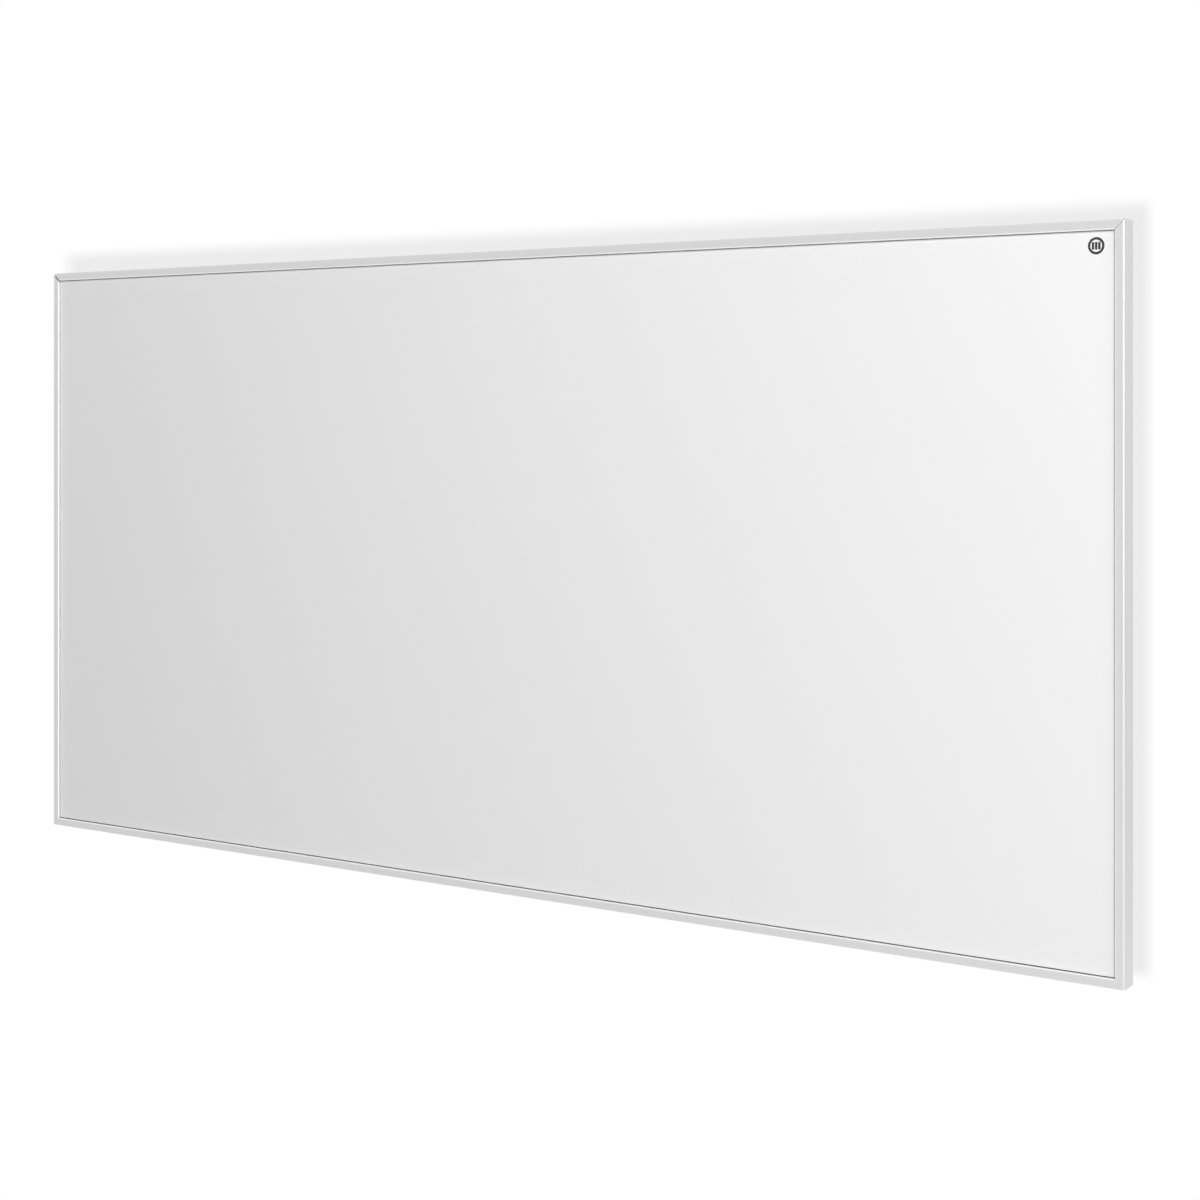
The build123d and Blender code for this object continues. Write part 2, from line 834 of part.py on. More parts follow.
with BuildPart() as wire_grommet:
    grommet_back = box_floor - grommet_flange_thickness
    with BuildSketch(facing_room(grommet_back)):
        with Locations(grommet_place):
            Circle(grommet_hole_radius + grommet_flange)
    extrude(amount=grommet_flange_thickness)
    with BuildSketch(facing_room(box_floor)):
        with Locations(grommet_place):
            Circle(grommet_hole_radius - grommet_gap)
    extrude(amount=flange_back - box_floor)
    with BuildSketch(facing_room(flange_back)):
        with Locations(grommet_place):
            Circle(grommet_hole_radius + grommet_flange)
    extrude(amount=grommet_flange_thickness)
    with on_plane(facing_room(grommet_back), [grommet_place]):
        Hole(grommet_bore_radius)
save(wire_grommet.part, "wire_grommet")


# ---- Earth bond ------------------------------------------------------------------------------
barrel_radius = lead_radius + barrel_wall
barrel_level = box_floor - barrel_radius
barrel_bottom = box_z + lug_radius
barrel_top = barrel_bottom + barrel_length
with BuildPart() as earth_lug:
    with BuildSketch(facing_room(box_floor - lug_thickness)):
        with Locations(earth_place):
            Circle(lug_radius)
            Rectangle(
                lug_tongue_width, barrel_top - box_z, align=(Align.CENTER, Align.MIN)
            )
            Circle(bracket_screw_radius + clearance_gap, mode=Mode.SUBTRACT)
    extrude(amount=lug_thickness)
    with BuildSketch(Plane.XY.offset(barrel_bottom)):
        with Locations((box_x, -barrel_level)):
            Circle(barrel_radius)
    extrude(amount=barrel_length)
    with BuildSketch(Plane.XY.offset(barrel_bottom)):
        with Locations((box_x, -barrel_level)):
            Circle(lead_hole_radius)
    extrude(amount=barrel_length, mode=Mode.SUBTRACT)
save(earth_lug.part, "earth_lug")

save(
    make_screws(
        [earth_place],
        box_floor - lug_thickness,
        bracket_screw_radius,
        bracket_screw_head_radius,
        bracket_screw_head_height,
        earth_screw_length,
    ),
    "earth_screw",
)
save(
    make_hex_nuts(
        [earth_place],
        flange_back,
        earth_nut_width,
        earth_nut_height,
        bracket_screw_radius + thread_gap,
    ),
    "earth_nut",
)


# ---- Terminal block --------------------------------------------------------------------------
block_x = box_x + block_offset_x
block_z = box_z + block_offset_z
block_back = box_floor - block_depth
block_top = block_z + block_height / 2
way_level = (block_back + box_floor) / 2
way_places = [(block_x + index * way_spacing, way_level) for index in (-1, 0, 1)]
clamp_places = [
    (x, block_z + side * clamp_spacing / 2) for x, level in way_places for side in (-1, 1)
]
clamp_seat = way_level - way_radius - clamp_screw_sink / 2
with BuildPart() as terminal_block:
    with BuildSketch(facing_room(block_back)):
        with Locations((block_x, block_z)):
            Rectangle(block_width, block_height)
    extrude(amount=block_depth)
    fillet(terminal_block.edges().filter_by(Axis.Y), radius=block_edge_radius)
    with BuildSketch(Plane.XY.offset(block_z)):
        with Locations(*[(x, -level) for x, level in way_places]):
            Circle(way_radius)
    extrude(amount=block_height / 2, both=True, mode=Mode.SUBTRACT)
    with BuildSketch(facing_room(block_back)):
        with Locations(*clamp_places):
            Circle(clamp_well_radius)
    extrude(amount=clamp_seat - block_back, mode=Mode.SUBTRACT)
save(terminal_block.part, "terminal_block")

clamp_screw_back = block_back + clamp_screw_sink
with BuildPart() as clamp_screws:
    with BuildSketch(facing_room(clamp_screw_back)):
        with Locations(*clamp_places):
            Circle(clamp_screw_radius)
    extrude(amount=clamp_seat - clamp_screw_back)
    with BuildSketch(facing_room(clamp_screw_back)):
        with Locations(*clamp_places):
            Rectangle(2 * clamp_screw_radius, clamp_slot_width)
    extrude(amount=clamp_slot_depth, mode=Mode.SUBTRACT)
save(clamp_screws.part, "clamp_screws")


# ---- Thermal cut-out, in the pocket against the insulation -----------------------------------
cutout_z = box_z + cutout_rise
cutout_front = flange_back + pocket_depth
cutout_level = cutout_front - cutout_depth / 2
cutout_top = cutout_z + cutout_length / 2
cutout_bottom = cutout_z - cutout_length / 2
with BuildPart() as thermal_cutout:
    with BuildSketch(facing_room(cutout_front - cutout_depth)):
        with Locations((wire_x, cutout_z)):
            Rectangle(cutout_width, cutout_length)
    extrude(amount=cutout_depth)
    fillet(thermal_cutout.edges().filter_by(Axis.Y), radius=cutout_edge_radius)
    for z in (cutout_bottom, cutout_top):
        with BuildSketch(Plane.XY.offset(z)):
            with Locations((wire_x, -cutout_level)):
                Circle(lead_hole_radius)
        extrude(amount=lead_hole_depth, both=True, mode=Mode.SUBTRACT)
save(thermal_cutout.part, "thermal_cutout")


# ---- Cable gland, upright in the bottom wall of the box --------------------------------------
gland_place = (gland_x, -box_middle)
gland_flange_bottom = box_bottom - gland_flange_height
gland_neck_bottom = gland_flange_bottom - gland_neck_length
seal_radius = cable_radius + gland_seal_wall
seal_seat_top = gland_neck_bottom + gland_seal_length - gland_nut_gap
with BuildPart() as gland_body:
    with BuildSketch(Plane.XY.offset(gland_neck_bottom)):
        with Locations(gland_place):
            Circle(gland_thread_radius)
    extrude(amount=gland_neck_length + gland_flange_height + gland_thread_length)
    with BuildSketch(Plane.XY.offset(gland_flange_bottom)):
        with Locations(gland_place):
            RegularPolygon(gland_hex_width / 2, side_count=6, major_radius=False)
    extrude(amount=gland_flange_height)
    with BuildSketch(Plane.XY.offset(gland_neck_bottom)):
        with Locations(gland_place):
            Circle(gland_bore_radius)
    extrude(
        amount=gland_neck_length + gland_flange_height + gland_thread_length, mode=Mode.SUBTRACT
    )
    with BuildSketch(Plane.XY.offset(gland_neck_bottom)):
        with Locations(gland_place):
            Circle(seal_radius + thread_gap)
    extrude(amount=seal_seat_top - gland_neck_bottom, mode=Mode.SUBTRACT)
save(gland_body.part, "gland_body")

seal_bottom = seal_seat_top - gland_seal_length
with BuildPart() as gland_seal:
    with BuildSketch(Plane.XY.offset(seal_bottom)):
        with Locations(gland_place):
            Circle(seal_radius)
            Circle(cable_radius, mode=Mode.SUBTRACT)
    extrude(amount=gland_seal_length)
save(gland_seal.part, "gland_seal")

gland_nut_top = gland_flange_bottom - gland_nut_gap
gland_nut_bottom = gland_nut_top - gland_nut_height
thread_room = gland_thread_radius + thread_gap
with BuildPart() as gland_nut:
    with BuildSketch(Plane.XY.offset(gland_nut_top)):
        with Locations(gland_place):
            RegularPolygon(gland_hex_width / 2, side_count=6, major_radius=False)
    extrude(amount=-gland_nut_hex_height)
    with BuildSketch(Plane.XY.offset(gland_nut_top)):
        with Locations(gland_place):
            Circle(gland_hex_width / 2)
    extrude(amount=-gland_nut_height)
    dome_rim = gland_nut.edges().group_by(Axis.Z)[0]
    fillet(dome_rim, radius=gland_dome_radius)
    with BuildSketch(Plane.XY.offset(gland_nut_top)):
        with Locations(gland_place):
            Circle(thread_room)
    extrude(amount=gland_nut_roof - gland_nut_height, mode=Mode.SUBTRACT)
    with BuildSketch(Plane.XY.offset(gland_nut_bottom)):
        with Locations(gland_place):
            Circle(gland_nut_opening_radius)
    extrude(amount=gland_nut_roof, mode=Mode.SUBTRACT)
save(gland_nut.part, "gland_nut")

with BuildPart() as gland_locknut:
    with BuildSketch(Plane.XY.offset(box_bottom + box_wall)):
        with Locations(gland_place):
            RegularPolygon(locknut_width / 2, side_count=6, major_radius=False)
            Circle(thread_room, mode=Mode.SUBTRACT)
    extrude(amount=locknut_height)
save(gland_locknut.part, "gland_locknut")


# ---- Rocker switch in the bottom wall of the box ---------------------------------------------
switch_place = (switch_x, -box_middle)
bezel_bottom = box_bottom - bezel_thickness
pivot_z = bezel_bottom + rocker_face_drop
housing_top = box_bottom + housing_height
cavity_top = pivot_z + rocker_radius + cavity_roof_gap
rocker_width = cavity_depth - 2 * rocker_side_gap
tab_places = [(switch_x + side * tab_spacing / 2, -box_middle) for side in (-1, 1)]
with BuildPart() as switch_housing:
    with BuildSketch(Plane.XY.offset(bezel_bottom)):
        with Locations(switch_place):
            RectangleRounded(bezel_width, bezel_depth, bezel_corner_radius)
    extrude(amount=bezel_thickness)
    bezel_rim = switch_housing.edges().group_by(Axis.Z)[0]
    fillet(bezel_rim, radius=head_edge_radius)
    with BuildSketch(Plane.XY.offset(box_bottom)):
        with Locations(switch_place):
            Rectangle(housing_width, housing_depth)
    extrude(amount=housing_height)
    with BuildSketch(Plane.XY.offset(box_bottom + box_wall)):
        with Locations(switch_place):
            Rectangle(housing_width + 2 * snap_depth, snap_length)
    extrude(amount=snap_height)
    with BuildSketch(Plane.XY.offset(bezel_bottom)):
        with Locations(switch_place):
            Rectangle(cavity_width, cavity_depth)
    extrude(amount=cavity_top - bezel_bottom, mode=Mode.SUBTRACT)
    with BuildSketch(facing_room(box_middle)):
        with Locations((switch_x, pivot_z)):
            Circle(pin_radius + pin_gap)
    extrude(amount=cavity_depth / 2 + pin_hole_depth, both=True, mode=Mode.SUBTRACT)
    with BuildSketch(Plane.XY.offset(housing_top)):
        with Locations(*tab_places):
            Rectangle(tab_thickness + 2 * tab_gap, tab_width + 2 * tab_gap)
    extrude(amount=-tab_root, mode=Mode.SUBTRACT)
save(switch_housing.part, "switch_housing")

# The rocker at its off position: the face is a shallow V, tilted until one flat lies level.
rocker_plane = Plane(
    origin=(switch_x, -box_middle, pivot_z),
    x_dir=Vector(1, 0, 0).rotate(Axis.Y, rocker_angle),
    z_dir=(0, -1, 0),
)
face_reach = 2 * rocker_radius
face_fall = rocker_face_drop + face_reach * tan(radians(rocker_angle))
with BuildPart() as rocker:
    with BuildSketch(rocker_plane):
        Circle(rocker_radius)
        with BuildLine():
            Polyline(
                (0, -rocker_face_drop),
                (face_reach, -face_fall),
                (face_reach, -2 * face_reach),
                (-face_reach, -2 * face_reach),
                (-face_reach, -face_fall),
                close=True,
            )
        make_face(mode=Mode.SUBTRACT)
        with Locations((0, rocker_top_height)):
            Rectangle(
                2 * face_reach, face_reach, align=(Align.CENTER, Align.MIN), mode=Mode.SUBTRACT
            )
    extrude(amount=rocker_width / 2, both=True)
    with BuildSketch(rocker_plane):
        Circle(pin_radius)
    extrude(amount=cavity_depth / 2 + pin_reach, both=True)
save(rocker.part, "rocker")

with BuildPart() as switch_tabs:
    with BuildSketch(Plane.XY.offset(housing_top - tab_root)):
        with Locations(*tab_places):
            Rectangle(tab_thickness, tab_width)
    extrude(amount=tab_root + tab_length)
save(switch_tabs.part, "switch_tabs")

spade_bottom = housing_top + spade_stand_off
spade_top = spade_bottom + spade_length
spade_barrel_top = spade_top + spade_barrel_length
with BuildPart() as spade_connectors:
    with BuildSketch(Plane.XY.offset(spade_bottom)):
        with Locations(*tab_places):
            Rectangle(spade_thickness, spade_width)
    extrude(amount=spade_length)
    with BuildSketch(Plane.XY.offset(spade_top)):
        with Locations(*tab_places):
            Circle(barrel_radius)
    extrude(amount=spade_barrel_length)
    with BuildSketch(Plane.XY.offset(spade_bottom)):
        with Locations(*tab_places):
            Rectangle(tab_thickness + 2 * tab_gap, tab_width + 2 * tab_gap)
    extrude(amount=housing_top + tab_length - spade_bottom + tab_gap, mode=Mode.SUBTRACT)
    with BuildSketch(Plane.XY.offset(spade_barrel_top)):
        with Locations(*tab_places):
            Circle(lead_hole_radius)
    extrude(amount=-lead_hole_depth, mode=Mode.SUBTRACT)
save(spade_connectors.part, "spade_connectors")


# ---- Internal leads --------------------------------------------------------------------------
def bend_radii(points):
    """The radius at each inner point: as large as its shorter run lets the tangent arc be."""
    radii = []
    for before, point, after in zip(points, points[1:], points[2:]):
        run_in = Vector(*point) - Vector(*before)
        run_out = Vector(*after) - Vector(*point)
        shorter = min(run_in.length, run_out.length)
        half_turn = radians(run_in.get_angle(run_out)) / 2
        radii.append(bend_share * shorter / tan(half_turn))
    return radii


def make_lead(name, points):
    """A round insulated lead along straight runs joined by tangent arcs."""
    radii = bend_radii(points)
    print(f"{name}: bend radii", [round(radius, 1) for radius in radii])
    with BuildPart() as lead:
        with BuildLine():
            route = FilletPolyline(*points, radius=radii)
        with BuildSketch(Plane(origin=route @ 0, z_dir=route % 0)):
            Circle(lead_radius)
        sweep(path=route)
    return lead.part


way_line, way_neutral, way_earth = [x for x, level in way_places]
lead_start = block_top - lead_hole_depth - clamp_screw_radius
tab_in, tab_out = [x for x, y in tab_places]
spade_lead_end = spade_barrel_top - lead_hole_depth
high_level = box_rim + 3.5
low_level = box_floor - 3.5
grommet_x, grommet_z = grommet_place
groove_level = flange_back + wire_groove_depth / 2
terminal_end = terminal_back + lead_hole_depth

lead_routes = {
    "line_lead": [
        (way_line, -way_level, lead_start),
        (way_line, -way_level, block_top + 6),
        (way_line + 6, -high_level, block_top + 14),
        (box_x + 4, -high_level, block_top + 11),
        (tab_in - 3, -high_level - 0.5, block_top),
        (tab_in, -box_middle, spade_barrel_top + 7),
        (tab_in, -box_middle, spade_lead_end),
    ],
    "switched_lead": [
        (tab_out, -box_middle, spade_lead_end),
        (tab_out, -box_middle, spade_barrel_top + 12),
        (grommet_x + 4, -box_middle - 2, grommet_z - 1),
        (grommet_x + 4, -flange_back - 4.5, grommet_z + 1),
        (grommet_x - 2, -cutout_level, cutout_bottom - pocket_lead_rise),
        (wire_x, -cutout_level, cutout_bottom - 12),
        (wire_x, -cutout_level, cutout_bottom + lead_hole_depth),
    ],
    "element_lead": [
        (wire_x, -cutout_level, cutout_top - lead_hole_depth),
        (wire_x, -cutout_level, cutout_top + 5),
        (wire_x, -groove_level, cutout_top + 17),
        (wire_x, -groove_level, terminal_z),
        (wire_x, -terminal_end, terminal_z),
    ],
    "neutral_lead": [
        (way_neutral, -way_level, lead_start),
        (way_neutral, -way_level, block_top + 15),
        (box_x + 10, -low_level, box_z + inside_height / 2 - lead_wall_gap),
        (grommet_x - 4, -low_level, grommet_z + 1),
        (grommet_x - 4, -flange_back - 4, grommet_z - 1),
        (wire_x + 2, -flange_back - 4.5, box_z - 2),
        (wire_x, -groove_level - 0.5, pocket_bottom + 6),
        (wire_x, -groove_level, -terminal_z),
        (wire_x, -terminal_end, -terminal_z),
    ],
    "earth_lead": [
        (way_earth, -way_level, lead_start),
        (way_earth, -way_level, block_top + 7),
        (box_x - 8, -barrel_level + 1, barrel_top + 9),
        (box_x, -barrel_level, barrel_top + 4),
        (box_x, -barrel_level, barrel_bottom + 2),
    ],
}
for name, points in lead_routes.items():
    save(make_lead(name, points), name)
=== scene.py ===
"""A flat infrared wall heater, dressed for rendering.

Lengths are in metres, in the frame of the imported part: +X to the right seen from the room, +Y into
the wall, +Z up, and the origin on the wall at the centre of the four wall holes. A "level" is a
distance in front of the wall. Most pieces are drawn flat, with x to the right, y up and z as the
level, and are then stood up against the wall.
"""

import logging
from collections.abc import Iterable, Sequence
from dataclasses import dataclass, replace
from enum import Enum
from math import cos, pi, radians, sin

import bmesh
import bpy
from bmesh.types import BMEdge, BMesh, BMFace, BMVert
from bpy.types import Material, Node, NodeSocket, NodeTree, Object
from mathutils import Matrix, Vector


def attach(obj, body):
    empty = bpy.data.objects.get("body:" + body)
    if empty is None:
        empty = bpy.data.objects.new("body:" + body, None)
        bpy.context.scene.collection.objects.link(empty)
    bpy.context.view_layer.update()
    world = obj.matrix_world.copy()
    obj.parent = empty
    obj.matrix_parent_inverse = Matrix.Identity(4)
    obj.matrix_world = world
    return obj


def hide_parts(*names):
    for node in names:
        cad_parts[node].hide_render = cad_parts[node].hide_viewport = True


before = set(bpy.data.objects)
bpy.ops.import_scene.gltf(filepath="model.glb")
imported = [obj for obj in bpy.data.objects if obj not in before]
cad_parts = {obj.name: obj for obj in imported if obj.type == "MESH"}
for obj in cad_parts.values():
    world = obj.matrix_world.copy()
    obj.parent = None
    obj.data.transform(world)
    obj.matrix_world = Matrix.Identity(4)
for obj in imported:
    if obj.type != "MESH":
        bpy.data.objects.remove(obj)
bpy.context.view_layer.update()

log = logging.getLogger("panel_heater")

MM = 0.001
NEAR = 0.001 * MM  # Two places that are closer than this count as one.
STAND_UP = Matrix.Rotation(pi / 2, 4, "X")
SCREW_TURN = radians(137.5)  # From one screw's recess to the next one's.
PAINTED_HIGHLIGHT = "rubbed"  # The face attribute that marks faces for a painted highlight.
FULL_WEAR_AND_HIGHLIGHT_AT = 0.8  # How much the rounded normal and the true one agree on a bare edge.

Place = tuple[float, float]
Point = tuple[float, float, float]
Colour = tuple[float, float, float]
Value = float | Sequence[float] | NodeSocket


# ---- Node trees ------------------------------------------------------------------------------
class Graph:
    """Adds nodes to one node tree and links them."""

    def __init__(self, tree: NodeTree) -> None:
        """Starts on an emptied tree."""
        self.tree = tree
        tree.nodes.clear()

    def add(
        self, kind: str, values: dict[str | int, Value] | None = None, **settings: object
    ) -> Node:
        """Adds a node.

        Args:
            kind: The node's type without its ShaderNode prefix.
            values: What its input sockets get, as feed takes it.
            settings: Its own properties, which are set first.

        Returns:
            The new node.
        """
        node = self.tree.nodes.new("ShaderNode" + kind)
        for name, value in settings.items():
            setattr(node, name, value)
        self.feed(node, values or {})
        return node

    def feed(self, node: Node, values: dict[str | int, Value]) -> None:
        """Sets or links the input sockets of a node.

        Args:
            node: The node.
            values: A value, or the output socket that is linked, by the input's name or number.
        """
        for name, value in values.items():
            if isinstance(value, NodeSocket):
                self.tree.links.new(value, node.inputs[name])
            else:
                node.inputs[name].default_value = value

    def math(self, operation: str, *values: Value) -> NodeSocket:
        """Adds a Math node and gives its output."""
        return self.add("Math", dict(enumerate(values)), operation=operation).outputs["Value"]

    def vector_math(self, operation: str, *values: Value, gives: str = "Vector") -> NodeSocket:
        """Adds a Vector Math node and gives one of its outputs."""
        return self.add("VectorMath", dict(enumerate(values)), operation=operation).outputs[gives]

    def ramp(self, value: Value, start: float, end: float, low: Value, high: Value) -> NodeSocket:
        """Adds a Map Range node from start and end to low and high, and gives its output."""
        values = {"Value": value, "From Min": start, "From Max": end, "To Min": low, "To Max": high}
        return self.add("MapRange", values).outputs["Result"]

    def blend(self, factor: Value, first: Value, second: Value) -> NodeSocket:
        """Adds a Mix node for two colours and gives its output."""
        return self.add("Mix", {0: factor, 6: first, 7: second}, data_type="RGBA").outputs[2]


class Lay(Enum):
    """The way that the fine relief of a finish runs: its name, and how much it is squeezed."""

    EVEN = ("Even Grain", (1, 1, 1))
    LEVEL = ("Level Lines", (0.012, 1, 1))
    UPRIGHT = ("Upright Lines", (1, 1, 0.012))
    SPANGLE = ("Zinc Spangle", (1, 1, 1))
    FELTED = ("Felted Fibres", (0.3, 1, 1))


def open_material(name: str) -> tuple[Material, Graph]:
    """Makes a material with an empty node tree.

    Args:
        name: The material's name.

    Returns:
        The material and its graph.
    """
    material = bpy.data.materials.new(name)
    material.use_nodes = True
    return material, Graph(material.node_tree)


def open_group(
    name: str, inputs: Sequence[str], outputs: Sequence[str]
) -> tuple[Graph, Node, Node]:
    """Makes a node group whose sockets are all floats.

    Args:
        name: The group's name.
        inputs: The names of its inputs.
        outputs: The names of its outputs.

    Returns:
        The group's graph, and its input and output nodes.
    """
    tree = bpy.data.node_groups.new(name, "ShaderNodeTree")
    for way, titles in (("INPUT", inputs), ("OUTPUT", outputs)):
        for title in titles:
            tree.interface.new_socket(name=title, in_out=way, socket_type="NodeSocketFloat")
    return Graph(tree), tree.nodes.new("NodeGroupInput"), tree.nodes.new("NodeGroupOutput")


def relief_group(lay: Lay) -> NodeTree:
    """Gives the node group of a lay, and builds it the first time.

    The group reads the piece's own coordinates. Its inputs are the fine pattern's Scale and Patch,
    the scale of the slow variation, and the Low and High roughness between which it moves.

    Args:
        lay: The lay that is asked for.

    Returns:
        The group, with the outputs Tone, Roughness and Height.
    """
    name, squeeze = lay.value
    if name in bpy.data.node_groups:
        return bpy.data.node_groups[name]
    graph, given, result = open_group(
        name, ("Scale", "Patch", "Low", "High"), ("Tone", "Roughness", "Height")
    )
    fine_scale, patch_scale, low, high = given.outputs[:4]
    place = graph.add("TexCoord").outputs["Object"]
    drawn = graph.add("Mapping", {"Vector": place, "Scale": squeeze}).outputs["Vector"]
    fine = graph.add(
        "TexNoise", {"Vector": drawn, "Scale": fine_scale, "Detail": 3.0, "Roughness": 0.6}
    )
    if lay is Lay.SPANGLE:
        cells = graph.add("TexVoronoi", {"Vector": drawn, "Scale": patch_scale, "Randomness": 1.0})
        tone = graph.add("SeparateColor", {"Color": cells.outputs["Color"]}).outputs["Red"]
    else:
        source = drawn if lay in (Lay.LEVEL, Lay.UPRIGHT) else place
        slow = graph.add("TexNoise", {"Vector": source, "Scale": patch_scale, "Detail": 2.0})
        tone = slow.outputs["Fac"]
    rough = graph.ramp(tone, 0.0, 1.0, low, high)
    graph.feed(result, {"Tone": tone, "Roughness": rough, "Height": fine.outputs["Fac"]})
    return graph.tree


def edge_group() -> NodeTree:
    """Gives the group that pales edges, as wear and painted highlights, and builds it the first
    time.

    Returns:
        The group; its Mask peaks along sharp edges and on faces marked for a painted highlight.
    """
    name = "Rubbed Edges"
    if name in bpy.data.node_groups:
        return bpy.data.node_groups[name]
    graph, given, result = open_group(name, ("Width", "Amount"), ("Mask",))
    width, amount = given.outputs[:2]
    rounded = graph.add("Bevel", {"Radius": width}, samples=4).outputs["Normal"]
    true = graph.add("NewGeometry").outputs["Normal"]
    agree = graph.vector_math("DOT_PRODUCT", rounded, true, gives="Value")
    turned = graph.ramp(agree, 1.0, FULL_WEAR_AND_HIGHLIGHT_AT, 0.0, amount)
    marked = graph.add("Attribute", attribute_name=PAINTED_HIGHLIGHT).outputs["Fac"]
    bare = graph.math("MULTIPLY", marked, amount)
    graph.feed(result, {"Mask": graph.math("MAXIMUM", turned, bare)})
    return graph.tree


# ---- Finishes --------------------------------------------------------------------------------
def grey(value: float) -> Colour:
    """The grey of one value."""
    return value, value, value


COAT_ROUGHNESS = 0.12
# The pale colour that edges are painted: wear on most metals, a painted highlight on the frame's
# aluminium.
WEAR_AND_HIGHLIGHT_COLOUR = grey(0.92)


@dataclass(frozen=True)
class Finish:
    """One surface finish.

    Attributes:
        name: The material's name.
        slot: The material slot of the record that it stands for.
        colour: Its main colour.
        shade: The colour of its slow patches.
        roughness: The lowest and highest roughness.
        metallic: 1 for bare metal, otherwise 0.
        lay: How its fine relief runs.
        scale: The scale of the fine relief, per metre.
        patch: The scale of the slow patches, per metre.
        relief: The depth of the fine relief.
        coat: The weight of a clear coat.
        edge: How much paler its edges are painted: wear, and on the frame a painted highlight.
        edge_width: How far that paler paint reaches from an edge.
    """

    name: str
    slot: str
    colour: Colour
    shade: Colour
    roughness: tuple[float, float]
    metallic: float = 0.0
    lay: Lay = Lay.EVEN
    scale: float = 900.0
    patch: float = 12.0
    relief: float = 0.01 * MM
    coat: float = 0.0
    edge: float = 0.0
    edge_width: float = 0.5 * MM

    def material(self) -> Material:
        """Gives the finish's material, and builds it the first time.

        Returns:
            The material.
        """
        if self.name in bpy.data.materials:
            return bpy.data.materials[self.name]
        material, graph = open_material(self.name)
        low, high = self.roughness
        values = {"Scale": self.scale, "Patch": self.patch, "Low": low, "High": high}
        relief = graph.add("Group", values, node_tree=relief_group(self.lay)).outputs
        colour = graph.blend(relief["Tone"], (*self.colour, 1), (*self.shade, 1))
        # Pale edges: wear on most finishes, a painted highlight on the frame's aluminium.
        if self.edge > 0:
            values = {"Width": self.edge_width, "Amount": self.edge}
            wear_and_highlight = graph.add("Group", values, node_tree=edge_group()).outputs["Mask"]
            colour = graph.blend(wear_and_highlight, colour, (*WEAR_AND_HIGHLIGHT_COLOUR, 1))
        bump = graph.add(
            "Bump", {"Height": relief["Height"], "Distance": self.relief, "Strength": 1.0}
        )
        values = {
            "Base Color": colour,
            "Metallic": self.metallic,
            "Roughness": relief["Roughness"],
            "Normal": bump.outputs["Normal"],
            "Coat Weight": self.coat,
            "Coat Roughness": COAT_ROUGHNESS,
        }
        shader = graph.add("BsdfPrincipled", values)
        graph.add("OutputMaterial", {"Surface": shader.outputs["BSDF"]})
        return material


# The frame's aluminium: its pale edges are a painted highlight along the roundings and the inner lip
# edge.
ALUMINIUM_LEVEL = Finish(
    "aluminium_level", "frame_aluminium", grey(0.70), grey(0.66), (0.34, 0.42), metallic=1.0,
    lay=Lay.LEVEL, scale=2600.0, patch=500.0, relief=0.004 * MM, edge=0.9, edge_width=0.7 * MM,
)
ALUMINIUM_UPRIGHT = replace(ALUMINIUM_LEVEL, name="aluminium_upright", lay=Lay.UPRIGHT)
POWDER_WHITE = Finish(
    "powder_white", "front_coating", grey(0.86), grey(0.85), (0.46, 0.54),
    scale=700.0, patch=6.0, relief=0.006 * MM,
)
PRINT_GREY = Finish(
    "print_grey", "front_coating", grey(0.02), grey(0.03), (0.5, 0.6),
    scale=4000.0, patch=200.0, relief=0.002 * MM,
)
# The seal's near-black foam; shown past the lips, it also stands in for the shadow in the gap there
# (painted shadow).
FOAM_AND_GAP_SHADOW = Finish(
    "foam_and_gap_shadow", "seal_foam", grey(0.045), grey(0.07), (0.8, 0.95),
    scale=3500.0, patch=400.0, relief=0.05 * MM,
)
RUBBER_BLACK = Finish(
    "rubber_black", "seal_rubber", grey(0.035), grey(0.05), (0.55, 0.72),
    scale=2500.0, patch=90.0, relief=0.02 * MM,
)
LAMINATE = Finish(
    "laminate_resin", "laminate_board", (0.72, 0.66, 0.48), (0.66, 0.60, 0.42), (0.3, 0.42),
    scale=1200.0, patch=30.0, coat=0.3,
)
CARBON_INK = Finish(
    "carbon_ink", "carbon_film", (0.03, 0.03, 0.035), (0.05, 0.05, 0.055), (0.6, 0.75),
    scale=1500.0, patch=60.0,
)
COPPER = Finish(
    "copper_foil", "copper", (0.80, 0.42, 0.26), (0.70, 0.36, 0.22), (0.28, 0.4), metallic=1.0,
    lay=Lay.LEVEL, scale=2000.0, patch=300.0, relief=0.003 * MM,
)
TINNED = Finish(
    "tinned_brass", "tinned_brass", (0.72, 0.70, 0.64), (0.64, 0.62, 0.55), (0.3, 0.42),
    metallic=1.0, scale=1500.0, patch=120.0, relief=0.004 * MM, edge=0.2,
)
FOIL = Finish(
    "bright_foil", "bright_foil", (0.84, 0.85, 0.86), (0.78, 0.79, 0.80), (0.12, 0.22),
    metallic=1.0, scale=90.0, patch=20.0, relief=0.1 * MM,
)
WOOL = Finish(
    "pressed_wool", "mineral_wool", (0.62, 0.58, 0.42), (0.50, 0.46, 0.32), (0.85, 0.98),
    lay=Lay.FELTED, patch=80.0, relief=0.4 * MM,
)
GALVANISED = Finish(
    "galvanised", "galvanised_sheet", (0.55, 0.56, 0.57), (0.48, 0.49, 0.50), (0.38, 0.48),
    metallic=1.0, lay=Lay.SPANGLE, scale=1800.0, patch=170.0, relief=0.006 * MM, edge=0.2,
)
ZINC_PLATE = Finish(
    "zinc_plate", "zinc_brackets", (0.64, 0.65, 0.66), (0.54, 0.55, 0.57), (0.26, 0.38),
    metallic=1.0, scale=1600.0, patch=45.0, relief=0.004 * MM, edge=0.3,
)
